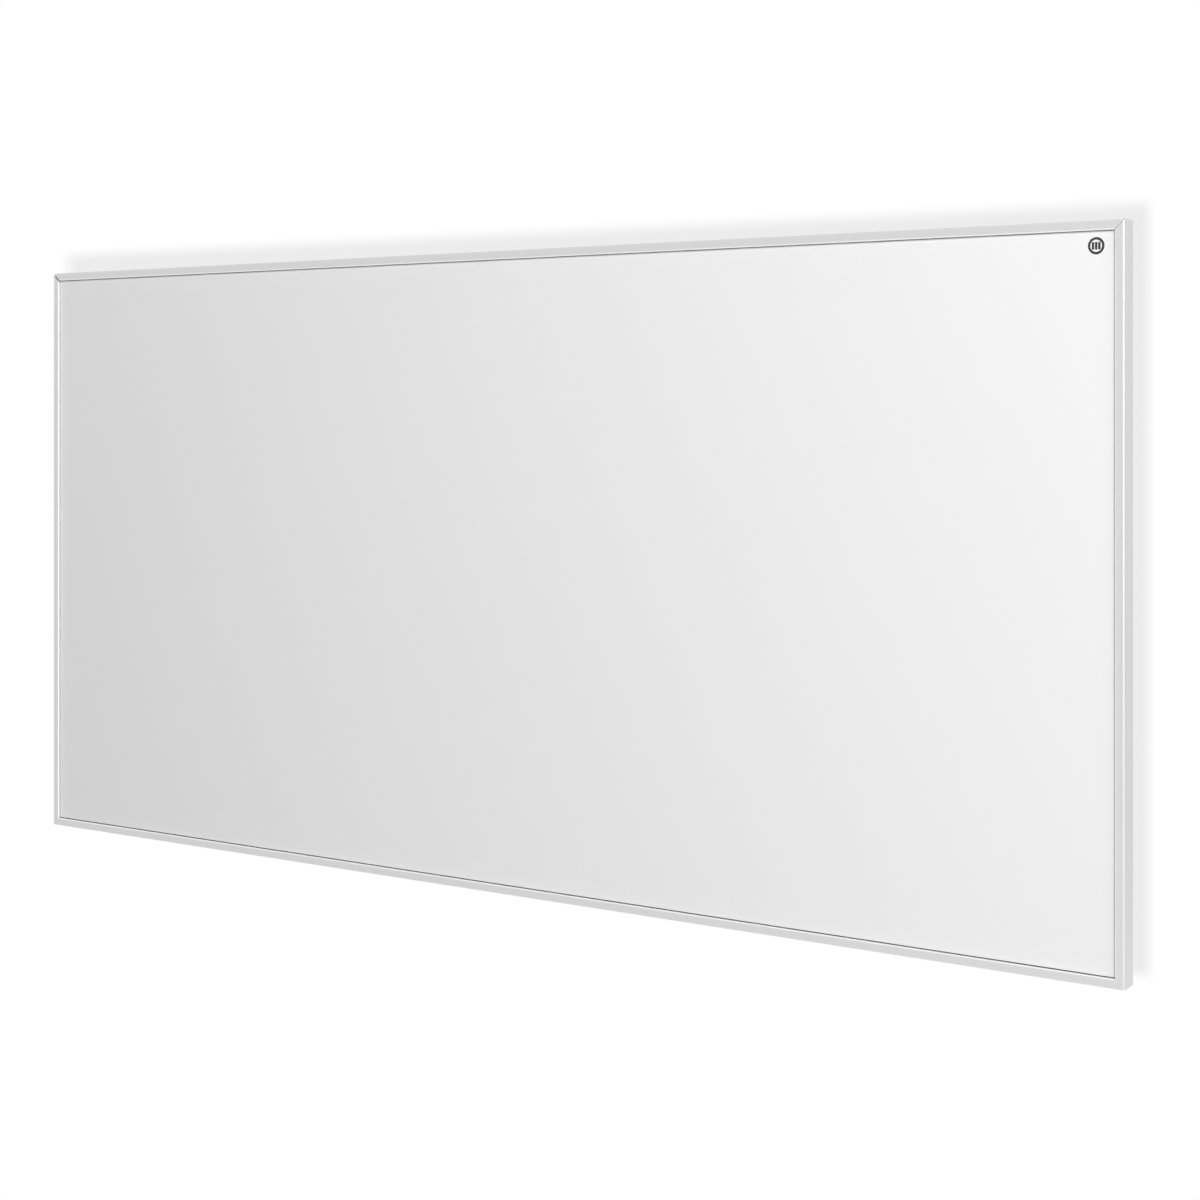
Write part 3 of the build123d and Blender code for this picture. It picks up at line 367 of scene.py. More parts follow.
ZINC_SCREW = Finish(
    "zinc_screw", "zinc_screws", (0.62, 0.63, 0.64), (0.52, 0.53, 0.54), (0.22, 0.34),
    metallic=1.0, scale=2500.0, patch=300.0, relief=0.003 * MM, edge=0.3, edge_width=0.25 * MM,
)
BOX_PLASTIC = Finish(
    "box_plastic", "box_plastic", (0.83, 0.83, 0.82), (0.80, 0.80, 0.79), (0.5, 0.62),
    scale=2600.0, patch=25.0, relief=0.03 * MM,
)
BLOCK_PLASTIC = Finish(
    "block_plastic", "block_plastic", (0.80, 0.80, 0.77), (0.76, 0.76, 0.73), (0.35, 0.45),
    scale=2000.0, patch=80.0,
)
DRAWN_CAN = Finish(
    "drawn_can", "cutout_metal", (0.70, 0.71, 0.72), (0.62, 0.63, 0.64), (0.24, 0.34),
    metallic=1.0, lay=Lay.UPRIGHT, scale=2600.0, patch=400.0, relief=0.003 * MM, edge=0.2,
)
KEY_NYLON = Finish(
    "key_nylon", "key_plastic", grey(0.08), grey(0.11), (0.5, 0.65),
    lay=Lay.FELTED, scale=2200.0, patch=160.0, relief=0.02 * MM,
)
GLAND_NYLON = Finish(
    "gland_nylon", "gland_nylon", grey(0.10), grey(0.13), (0.42, 0.55),
    scale=2400.0, patch=120.0, relief=0.012 * MM, edge=0.05,
)
SWITCH_SATIN = Finish(
    "switch_satin", "switch_plastic", grey(0.025), grey(0.035), (0.4, 0.5),
    scale=3000.0, patch=150.0, relief=0.008 * MM,
)
ROCKER_GLOSS = Finish(
    "rocker_gloss", "rocker_plastic", grey(0.02), grey(0.028), (0.16, 0.24),
    patch=120.0, relief=0.002 * MM, coat=0.4,
)
MARK_WHITE = Finish(
    "mark_white", "rocker_plastic", grey(0.80), grey(0.76), (0.4, 0.5),
    scale=3000.0, patch=300.0, relief=0.003 * MM,
)
BROWN_SLEEVE = Finish(
    "brown_sleeve", "brown_lead", (0.22, 0.10, 0.05), (0.26, 0.13, 0.07), (0.35, 0.45),
    scale=1500.0, patch=60.0, relief=0.008 * MM,
)
BLUE_SLEEVE = replace(
    BROWN_SLEEVE, name="blue_sleeve", slot="blue_lead", colour=(0.05, 0.18, 0.5),
    shade=(0.07, 0.22, 0.56),
)
GREEN_SLEEVE = replace(
    BROWN_SLEEVE, name="green_sleeve", slot="green_lead", colour=(0.12, 0.42, 0.08),
    shade=(0.78, 0.72, 0.06), lay=Lay.UPRIGHT, patch=500.0,
)


# ---- Mesh work -------------------------------------------------------------------------------
def shrunk(size: Place, inset: float) -> Place:
    """A width and height less an inset on every side."""
    return size[0] - 2 * inset, size[1] - 2 * inset


def moved_verts(made: dict) -> list[BMVert]:
    """The vertices among the geometry that an extrude gives back."""
    return [item for item in made["geom"] if isinstance(item, BMVert)]


def rounded_face(bm: BMesh, centre: Place, size: Place, corner: float, level: float) -> BMFace:
    """Adds a flat rectangle with rounded corners.

    Args:
        bm: The mesh, which holds nothing else yet at this level.
        centre: The middle of the rectangle.
        size: Its width and height.
        corner: The radius of its corners, or 0.
        level: Its distance in front of the wall.

    Returns:
        The face.
    """
    verts = bmesh.ops.create_grid(bm, x_segments=1, y_segments=1, size=0.5)["verts"]
    bmesh.ops.scale(bm, vec=(size[0], size[1], 1), verts=verts)
    bmesh.ops.translate(bm, vec=(centre[0], centre[1], level), verts=verts)
    if corner > 0:
        made = bmesh.ops.bevel(
            bm, geom=verts, offset=corner, offset_type="OFFSET", segments=8, profile=0.5,
            affect="VERTICES", material=-1,
        )
        verts = made["verts"]
    return max(verts[0].link_faces, key=BMFace.calc_area)


def raise_faces(bm: BMesh, faces: Iterable[BMFace], by: Vector) -> list[BMVert]:
    """Extrudes flat faces into a closed solid.

    Args:
        bm: The mesh.
        faces: The faces.
        by: How far they move.

    Returns:
        The vertices that moved.
    """
    verts = moved_verts(bmesh.ops.extrude_face_region(bm, geom=list(faces)))
    bmesh.ops.translate(bm, vec=by, verts=verts)
    return verts


def round_edges(
    bm: BMesh, edges: Iterable[BMEdge], radius: float, segments: int = 3
) -> list[BMFace]:
    """Rounds edges with a circular bevel.

    Args:
        bm: The mesh.
        edges: The edges.
        radius: The radius.
        segments: The number of faces across each rounding.

    Returns:
        The faces of the roundings.
    """
    made = bmesh.ops.bevel(
        bm, geom=list(edges), offset=radius, offset_type="OFFSET", segments=segments,
        profile=0.5, affect="EDGES", material=-1, clamp_overlap=True,
    )
    return made["faces"]


def edges_at(bm: BMesh, level: float) -> list[BMEdge]:
    """The edges that lie wholly at one level."""
    return [e for e in bm.edges if all(abs(v.co.z - level) < NEAR for v in e.verts)]


def cut(bm: BMesh, point: Sequence[float], outward: Sequence[float], trim: bool = False) -> None:
    """Cuts a mesh by a plane through a point, and deletes the outward part if it is trimmed."""
    geometry = bm.verts[:] + bm.edges[:] + bm.faces[:]
    bmesh.ops.bisect_plane(
        bm, geom=geometry, dist=NEAR, plane_co=point, plane_no=outward, clear_outer=trim
    )


def open_loop(
    bm: BMesh, centre: Place, size: Place, corner: float, level: float
) -> list[BMEdge]:
    """Adds the outline of a flat rectangle with rounded corners, without its face.

    Args:
        bm: The mesh.
        centre: The middle of the rectangle.
        size: Its width and height.
        corner: The radius of its corners, or 0.
        level: Its place along z.

    Returns:
        The edges of the outline.
    """
    face = rounded_face(bm, centre, size, corner, level)
    edges = list(face.edges)
    bmesh.ops.delete(bm, geom=[face], context="FACES_ONLY")
    return edges


def ring_loop(
    bm: BMesh, centre: Place, radius: float, level: float, segments: int = 32
) -> list[BMEdge]:
    """Adds the outline of a circle, as a polygon with a corner on the x axis.

    Args:
        bm: The mesh.
        centre: Its middle.
        radius: Its radius at the corners.
        level: Its place along z.
        segments: The number of its sides.

    Returns:
        The edges of the circle.
    """
    verts = bmesh.ops.create_circle(bm, segments=segments, radius=radius)["verts"]
    turned = Matrix.Rotation(pi / 2, 4, "Z")
    bmesh.ops.transform(bm, matrix=Matrix.Translation((*centre, level)) @ turned, verts=verts)
    return list(dict.fromkeys(edge for vert in verts for edge in vert.link_edges))


def fill_between(bm: BMesh, *loops: list[BMEdge], normal: Point = (0.0, 0.0, 1.0)) -> None:
    """Fills the flat area between an outer loop and the loops inside it."""
    edges = [edge for loop in loops for edge in loop]
    bmesh.ops.triangle_fill(
        bm, use_beauty=True, use_dissolve=False, edges=edges, normal=Vector(normal)
    )


def close_loop(bm: BMesh, loop: list[BMEdge]) -> BMFace:
    """Closes a flat loop with one face, and gives the face."""
    return bmesh.ops.contextual_create(bm, geom=loop)["faces"][0]


def close_hollow(
    bm: BMesh,
    loops: Sequence[list[BMEdge]],
    outside: Iterable[Place],
    inside: Iterable[Place],
) -> None:
    """Makes a closed ring of material from two loops at one level, one inside the other.

    Args:
        bm: The mesh.
        loops: The outer and the inner loop.
        outside: The steps of the outer wall, as draw_loop takes them.
        inside: The steps of the inner wall, which ends at the same level.
    """
    fill_between(bm, *loops)
    ends = [draw_loop(bm, loop, steps) for loop, steps in zip(loops, (outside, inside))]
    fill_between(bm, *ends)


def draw_loop(bm: BMesh, loop: list[BMEdge], steps: Iterable[Place]) -> list[BMEdge]:
    """Draws a flat loop out into a wall, step by step.

    Args:
        bm: The mesh.
        loop: The edges of the loop.
        steps: How far the loop grows and rises at each step.

    Returns:
        The edges of the last loop.
    """
    for grow, rise in steps:
        made = bmesh.ops.extrude_edge_only(bm, edges=loop)
        verts = moved_verts(made)
        loop = [item for item in made["geom"] if isinstance(item, BMEdge)]
        loop = [edge for edge in loop if all(vert in verts for vert in edge.verts)]
        low = Vector(map(min, zip(*(vert.co for vert in verts))))
        high = Vector(map(max, zip(*(vert.co for vert in verts))))
        middle, half = (low + high) / 2, (high - low) / 2
        scale = (1 + grow / half.x, 1 + grow / half.y, 1)
        bmesh.ops.scale(bm, vec=scale, space=Matrix.Translation(-middle), verts=verts)
        bmesh.ops.translate(bm, vec=(0, 0, rise), verts=verts)
    return loop


def round_steps(
    grow: float, rise: float, rise_first: bool = False, count: int = 4
) -> list[Place]:
    """Splits a quarter round into the steps that draw_loop takes.

    Args:
        grow: How far it grows in all.
        rise: How far it rises in all.
        rise_first: True if it starts along the rise.
        count: The number of steps.

    Returns:
        The growth and rise of each step.
    """
    turns = [pi / 2 * step / count for step in range(count + 1)]
    path = [(grow * sin(turn), rise * (1 - cos(turn))) for turn in turns]
    if rise_first:
        path = [(grow * (1 - cos(turn)), rise * sin(turn)) for turn in turns]
    return [(end[0] - start[0], end[1] - start[1]) for start, end in zip(path, path[1:])]


def thread_steps(length: float, depth: float, pitch: float) -> list[Place]:
    """Splits a threaded length into ridges, as steps that draw_loop takes.

    Args:
        length: How far it rises in all.
        depth: The height of a ridge.
        pitch: About how far apart the ridges are.

    Returns:
        The growth and rise of each step.
    """
    count = max(1, round(abs(length) / pitch))
    rise = length / count / 2
    return [(depth, rise), (-depth, rise)] * count


def add_piece(
    bm: BMesh,
    name: str,
    finish: Finish,
    replaces: Sequence[str] = (),
    body: str = "panel",
    place: Matrix = STAND_UP,
    smooth: float = 35.0,
) -> Object:
    """Turns a finished mesh into a piece of the object.

    Args:
        bm: The mesh, which is used up.
        name: The piece's name.
        finish: Its surface finish.
        replaces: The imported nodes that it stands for.
        body: The body that it rides on.
        place: The transform from the drawing to the piece's place.
        smooth: The largest angle, in degrees, over which its shading runs on.

    Returns:
        The new object.
    """
    bmesh.ops.transform(bm, matrix=place, verts=bm.verts)
    bmesh.ops.recalc_face_normals(bm, faces=bm.faces)
    mesh = bpy.data.meshes.new(name)
    bm.to_mesh(mesh)
    bm.free()
    mesh.shade_smooth()
    mesh.set_sharp_from_angle(angle=radians(smooth))
    mesh.materials.append(finish.material())
    piece = bpy.data.objects.new(name, mesh)
    bpy.context.scene.collection.objects.link(piece)
    weighted = piece.modifiers.new("Even shading", "WEIGHTED_NORMAL")
    weighted.keep_sharp = True
    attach(piece, body)
    if replaces:
        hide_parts(*replaces)
    log.info("%s: %d faces, %s", name, len(mesh.polygons), finish.name)
    return piece


def thicken(piece: Object, thickness: float, offset: float) -> None:
    """Gives a piece that is drawn as a bare sheet its thickness.

    Args:
        piece: The piece.
        thickness: Its thickness.
        offset: Where the drawn sheet lies in it, from -1 for its front to 1 for its back.
    """
    wall = piece.modifiers.new("Sheet thickness", "SOLIDIFY")
    wall.thickness = thickness
    wall.offset = offset
    piece.modifiers.move(len(piece.modifiers) - 1, 0)


def dress(finishes: dict[Finish, Sequence[str]]) -> None:
    """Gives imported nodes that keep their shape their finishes.

    Args:
        finishes: The names of the nodes that each finish is for.
    """
    for finish, names in finishes.items():
        for name in names:
            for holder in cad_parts[name].material_slots:
                holder.material = finish.material()
            log.info("%s: kept, %s", name, finish.name)


# ---- Screws ----------------------------------------------------------------------------------
@dataclass(frozen=True)
class Screw:
    """One kind of screw with a cross recess.

    Attributes:
        radius: The radius of its thread.
        head_radius: The radius of its head.
        head_height: The height of its head.
        length: How far it reaches past the surface under its head, or past a sunk head's face.
        sunk: True if its head is countersunk.
        flat: How much of its head's radius is flat.
        crown: How much of a raised head's height is rounded.
        pitch: The pitch of its thread.
        thread_depth: The height of the thread's ridges.
        tip: How much of the thread's root its point tapers by.
        recess_width: The width of the recess's arms.
        recess_reach: How much of its head's radius the arms take.
        recess_taper: How much of their reach the arms lose at the bottom.
        recess_depth: The depth of the recess.
    """

    radius: float
    head_radius: float
    head_height: float
    length: float
    sunk: bool = False
    flat: float = 0.62
    crown: float = 0.7
    pitch: float = 0.7 * MM
    thread_depth: float = 0.2 * MM
    tip: float = 0.5
    recess_width: float = 0.9 * MM
    recess_reach: float = 0.55
    recess_taper: float = 0.5
    recess_depth: float = 1.0 * MM

    def draw(self, bm: BMesh, place: Place, seat: float, turn: float) -> None:
        """Adds one screw that is driven from behind, towards higher levels.

        Args:
            bm: The mesh.
            place: The place of its axis.
            seat: The level of the surface that it is driven into.
            turn: The angle of its recess.
        """
        before = set(bm.verts)
        root = self.radius - self.thread_depth
        ring = ring_loop(bm, (0, 0), self.flat * self.head_radius, 0)
        cross = self.recess(bm)
        fill_between(bm, ring, cross)
        taper = self.recess_taper * self.recess_reach * self.head_radius
        close_loop(bm, draw_loop(bm, cross, [(-taper, self.recess_depth)]))
        rim = (1 - self.flat) * self.head_radius
        if self.sunk:
            cone = self.head_radius - root
            steps = [(rim, rim), (-cone, cone)]
            left = self.length - rim - cone
        else:
            arc = self.crown * self.head_height
            steps = round_steps(rim, arc)
            steps += [(0, self.head_height - arc), (root - self.head_radius, 0)]
            left = self.length
        tip = self.tip * root
        steps += thread_steps(left - tip, self.thread_depth, self.pitch) + [(-tip, tip)]
        close_loop(bm, draw_loop(bm, ring, steps))
        back = seat if self.sunk else seat - self.head_height
        matrix = Matrix.Translation((*place, back)) @ Matrix.Rotation(turn, 4, "Z")
        bmesh.ops.transform(bm, matrix=matrix, verts=[v for v in bm.verts if v not in before])

    def recess(self, bm: BMesh) -> list[BMEdge]:
        """Draws the outline of the cross.

        Args:
            bm: The mesh.

        Returns:
            The edges of the outline.
        """
        half, reach = self.recess_width / 2, self.recess_reach * self.head_radius
        before = set(bm.verts)
        for step in range(4):
            turn = Matrix.Rotation(step * pi / 2, 4, "Z")
            for corner in ((reach, -half), (reach, half), (half, half)):
                bmesh.ops.create_vert(bm, co=turn @ Vector((*corner, 0)))
        verts = [vert for vert in bm.verts if vert not in before]
        return [bm.edges.new(pair) for pair in zip(verts, verts[1:] + verts[:1])]


def add_screws(
    name: str, kind: Screw, places: Sequence[Place], seat: float, replaces: str
) -> None:
    """Builds a group of like screws, each turned as it happened to stop.

    Args:
        name: The group's name.
        kind: The kind of screw.
        places: The places of their axes.
        seat: The level of the surface that they are driven into.
        replaces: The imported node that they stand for.
    """
    bm = bmesh.new()
    for index, place in enumerate(places):
        kind.draw(bm, place, seat, turn=index * SCREW_TURN)
    add_piece(bm, name, ZINC_SCREW, [replaces], smooth=40)


def spread(last: float, count: int) -> list[float]:
    """Evenly spaced values from minus last to last."""
    return [last * (2 * index / (count - 1) - 1) for index in range(count)]


# ---- The object ------------------------------------------------------------------------------
@dataclass
class Panel:
    """The outside that every sub-assembly fits to."""

    width: float = 1200 * MM
    height: float = 600 * MM
    front: float = 40 * MM
    back: float = 20 * MM

    def inside(self, inset: float) -> Place:
        """Its width and height less an inset on every side."""
        return shrunk((self.width, self.height), inset)


class Side(Enum):
    """A side of the frame, with the signs of its place across and up."""

    TOP = (0, 1)
    BOTTOM = (0, -1)
    LEFT = (-1, 0)
    RIGHT = (1, 0)


@dataclass
class Frame:
    """Four mitred members of one aluminium extrusion, and what joins them."""

    panel: Panel
    lip_width: float = 8.0 * MM
    lip_thickness: float = 2.2 * MM
    web: float = 1.4 * MM
    flange_back: float = 20.6 * MM
    flange_front: float = 22.0 * MM
    chamber_wall: float = 1.2 * MM
    chamber_front: float = 34.2 * MM
    outer_radius: float = 1.2 * MM
    lip_radius: float = 1.0 * MM
    back_radius: float = 0.4 * MM
    upper_left_gap: float = 1.4 * MM
    upper_right_gap: float = 0.35 * MM
    lower_gap: float = 0.12 * MM

    def build(self) -> None:
        """Builds the four members and dresses the corner keys."""
        for side in Side:
            self.member(side)
        dress({KEY_NYLON: ["corner_keys"], ZINC_SCREW: ["corner_screws"]})

    def section(self) -> BMesh:
        """Draws the extrusion's section.

        Returns:
            Its flat mesh, x inward from the outer face and y the level.
        """
        columns = [0.0, self.web, self.lip_width, self.lip_width + self.chamber_wall]
        levels = [
            self.panel.back,
            self.flange_back,
            self.flange_front,
            self.chamber_front - self.chamber_wall,
            self.chamber_front,
            self.panel.front - self.lip_thickness,
            self.panel.front,
        ]
        cells = ["XXXXXX", " X X X", " XXX  "]
        bm = bmesh.new()
        across, up = len(columns) - 1, len(levels) - 1
        bmesh.ops.create_grid(bm, x_segments=across, y_segments=up, size=0.5)
        empty = []
        for face in bm.faces:
            middle = face.calc_center_median()
            column, row = int((middle.x + 0.5) * across), int((middle.y + 0.5) * up)
            if cells[column][row] == " ":
                empty.append(face)
        for vert in bm.verts:
            column, row = round((vert.co.x + 0.5) * across), round((vert.co.y + 0.5) * up)
            vert.co = (columns[column], levels[row], 0)
        bmesh.ops.delete(bm, geom=empty, context="FACES")
        return bm

    def mitre_gap(self, across: int, up: int) -> float:
        """Gives how far the mitre at one corner stands open.

        Args:
            across: -1 on the left, 1 on the right.
            up: -1 at the bottom, 1 at the top.

        Returns:
            The gap between the two members.
        """
        if up < 0:
            return self.lower_gap
        return self.upper_left_gap if across < 0 else self.upper_right_gap

    def member(self, side: Side) -> None:
        """Builds one member, cut at 45 degrees at both ends, its inner lip edge painted as a
        highlight.

        Args:
            side: The side of the frame that it takes.
        """
        upright = side in (Side.LEFT, Side.RIGHT)
        length = self.panel.height if upright else self.panel.width
        bm = self.section()
        raise_faces(bm, bm.faces[:], Vector((0, 0, length)))
        rubbed = bm.faces.layers.float.new(PAINTED_HIGHLIGHT)
        for depth, level, radius in (
            (0.0, self.panel.front, self.outer_radius),
            (self.lip_width, self.panel.front, self.lip_radius),
            (0.0, self.panel.back, self.back_radius),
        ):
            corner = Vector((depth, level))
            long_edges = [
                edge
                for edge in bm.edges
                if all((vert.co.xy - corner).length < NEAR for vert in edge.verts)
            ]
            # The rounded inner lip edge is marked for a painted highlight; the other roundings are
            # not.
            for face in round_edges(bm, long_edges, radius, segments=4):
                face[rubbed] = float(depth > 0)
        across, up = side.value
        gaps = [self.mitre_gap(across or sign, up or sign) / 2**0.5 for sign in (-1, 1)]
        for vert in bm.verts:
            first, last = vert.co.x + gaps[0], length - vert.co.x - gaps[1]
            vert.co.z = first if vert.co.z < length / 2 else last
        start = Vector((across * self.panel.width / 2, 0, up * self.panel.height / 2))
        inward = Vector((-across, 0, -up))
        along = Vector((0, 0, 1)) if upright else Vector((1, 0, 0))
        start -= along * length / 2
        place = Matrix((inward, Vector((0, -1, 0)), along)).transposed().to_4x4()
        place.translation = start
        name = side.name.lower()
        finish = ALUMINIUM_UPRIGHT if upright else ALUMINIUM_LEVEL
        add_piece(bm, f"member_{name}", finish, [f"frame_{name}"], place=place, smooth=30)


@dataclass
class HeatingFront:
    """The white front sheet, its seal, and the heating laminate behind it."""

    panel: Panel
    sheet_inset: float = 2.2 * MM
    sheet_back: float = 36.6 * MM
    sheet_front: float = 37.2 * MM
    sheet_corner: float = 2.0 * MM
    sheet_edge: float = 0.15 * MM
    seal_inset: float = 3.0 * MM
    seal_width: float = 4.4 * MM
    # The reveals are widened so that the dark seal also stands in for the shadow under the upper and
    # lower lips.
    upper_reveal: float = 2.1 * MM
    lower_reveal: float = 2.4 * MM
    seal_front: float = 37.8 * MM
    mark_place: Place = (576.2 * MM, 280.1 * MM)
    mark_radius: float = 6.8 * MM
    mark_line: float = 2.0 * MM
    mark_sides: int = 56
    bar_height: float = 6.0 * MM
    bar_corner: float = 0.4 * MM
    bar_spacing: float = 2.6 * MM
    ink_thickness: float = 0.04 * MM

    def build(self) -> None:
        """Builds the sheet, its seal and the heat mark, and dresses the laminate."""
        self.sheet()
        self.seal()
        self.heat_mark()
        dress({
            LAMINATE: ["carrier_board", "backing_sheet"],
            CARBON_INK: ["carbon_strips"],
            COPPER: ["busbar_upper", "busbar_lower"],
            TINNED: ["busbar_terminals"],
            FOIL: ["reflector_foil"],
        })

    def sheet(self) -> None:
        """Builds the flat front sheet with its edges broken."""
        bm = bmesh.new()
        size = self.panel.inside(self.sheet_inset)
        face = rounded_face(bm, (0, 0), size, self.sheet_corner, self.sheet_back)
        raise_faces(bm, [face], Vector((0, 0, self.sheet_front - self.sheet_back)))
        round_edges(bm, edges_at(bm, self.sheet_front), self.sheet_edge, segments=2)
        add_piece(bm, "front_sheet", POWDER_WHITE, ["front_panel"])

    def seal(self) -> None:
        """Builds the foam seal, a dark line inside the lips that also paints the gap's shadow."""
        bm = bmesh.new()
        face = rounded_face(bm, (0, 0), self.panel.inside(self.seal_inset), 0, self.sheet_front)
        bmesh.ops.inset_individual(bm, faces=[face], thickness=self.seal_width)
        for vert in face.verts:
            vert.co.y -= self.upper_reveal if vert.co.y > 0 else -self.lower_reveal
        bmesh.ops.delete(bm, geom=[face], context="FACES")
        raise_faces(bm, bm.faces[:], Vector((0, 0, self.seal_front - self.sheet_front)))
        add_piece(bm, "foam_seal", FOAM_AND_GAP_SHADOW, ["front_seal"])

    def heat_mark(self) -> None:
        """Prints a plain ring with three upright bars near the upper right corner."""
        bm = bmesh.new()
        disc = close_loop(bm, ring_loop(bm, (0, 0), self.mark_radius, 0, self.mark_sides))
        bmesh.ops.inset_individual(bm, faces=[disc], thickness=self.mark_line)
        bmesh.ops.delete(bm, geom=[disc], context="FACES")
        for step in (-1, 0, 1):
            shift = (step * self.bar_spacing, 0)
            rounded_face(bm, shift, (self.mark_line, self.bar_height), self.bar_corner, 0)
        raise_faces(bm, bm.faces[:], Vector((0, 0, self.ink_thickness)))
        spot = (*self.mark_place, self.sheet_front)
        bmesh.ops.translate(bm, vec=spot, verts=bm.verts)
        add_piece(bm, "heat_mark", PRINT_GREY)


@dataclass
class RearCover:
    """The pressed rear cover with all that it carries inside."""

    panel: Panel
    inset: float = 1.7 * MM
    back: float = 20.0 * MM
    thickness: float = 0.6 * MM
    bead_count: int = 4
    bead_spacing: float = 100 * MM
    bead_length: float = 680 * MM
    bead_width: float = 12 * MM
    bead_height: float = 1.2 * MM
    bead_side: float = 0.84 * MM
    bead_corner: float = 5.988 * MM
    bead_turns: int = 6
    screw: Screw = Screw(1.4 * MM, 2.6 * MM, 1.8 * MM, 6.0 * MM)
    screw_line: float = 4.7 * MM
    screw_columns: int = 6
    screw_rows: int = 3
    screw_corner: float = 60 * MM
    screw_end: float = 100 * MM

    def build(self) -> None:
        """Builds the cover and its screws, and dresses what is fixed to it."""
        self.cover()
        self.screws()
        dress({
            GALVANISED: ["stiffener_left", "stiffener_right"],
            ZINC_SCREW: ["weld_nuts"],
            RUBBER_BLACK: ["rear_gasket"],
            WOOL: ["insulation_board"],
        })

    def cover(self) -> None:
        """Builds the sheet with its beads pressed towards the wall."""
        bm = bmesh.new()
        plate = open_loop(bm, (0, 0), self.panel.inside(self.inset), 0, self.back)
        last = self.bead_spacing * (self.bead_count - 1) / 2
        size = (self.bead_length, self.bead_width)
        beads = [
            open_loop(bm, (0, z), size, self.bead_corner, self.back)
            for z in spread(last, self.bead_count)
        ]
        fill_between(bm, plate, *beads)
        for loop in beads:
            close_loop(bm, draw_loop(bm, loop, self.bead_steps()))
        piece = add_piece(bm, "pressed_cover", GALVANISED, ["rear_cover"], smooth=40)
        thicken(piece, self.thickness, offset=-1.0)

    def bead_steps(self) -> list[Place]:
        """Splits the smooth side of a bead into steps.

        Returns:
            The steps, as draw_loop takes them.
        """
        turns = [pi * step / self.bead_turns for step in range(self.bead_turns + 1)]
        grow = -2 * self.bead_side / self.bead_turns
        return [
            (grow, -self.bead_height * (cos(start) - cos(end)) / 2)
            for start, end in zip(turns, turns[1:])
        ]

    def screws(self) -> None:
        """Builds the screws that hold the cover to the frame."""
        x = self.panel.width / 2 - self.screw_line
        z = self.panel.height / 2 - self.screw_line
        columns = spread(self.panel.width / 2 - self.screw_corner, self.screw_columns)
        rows = spread(self.panel.height / 2 - self.screw_end, self.screw_rows)
        places = [(across, up) for up in (z, -z) for across in columns]
        places += [(across, up) for across in (-x, x) for up in rows]
        add_screws("plate_screws", self.screw, places, self.back, "cover_screws")


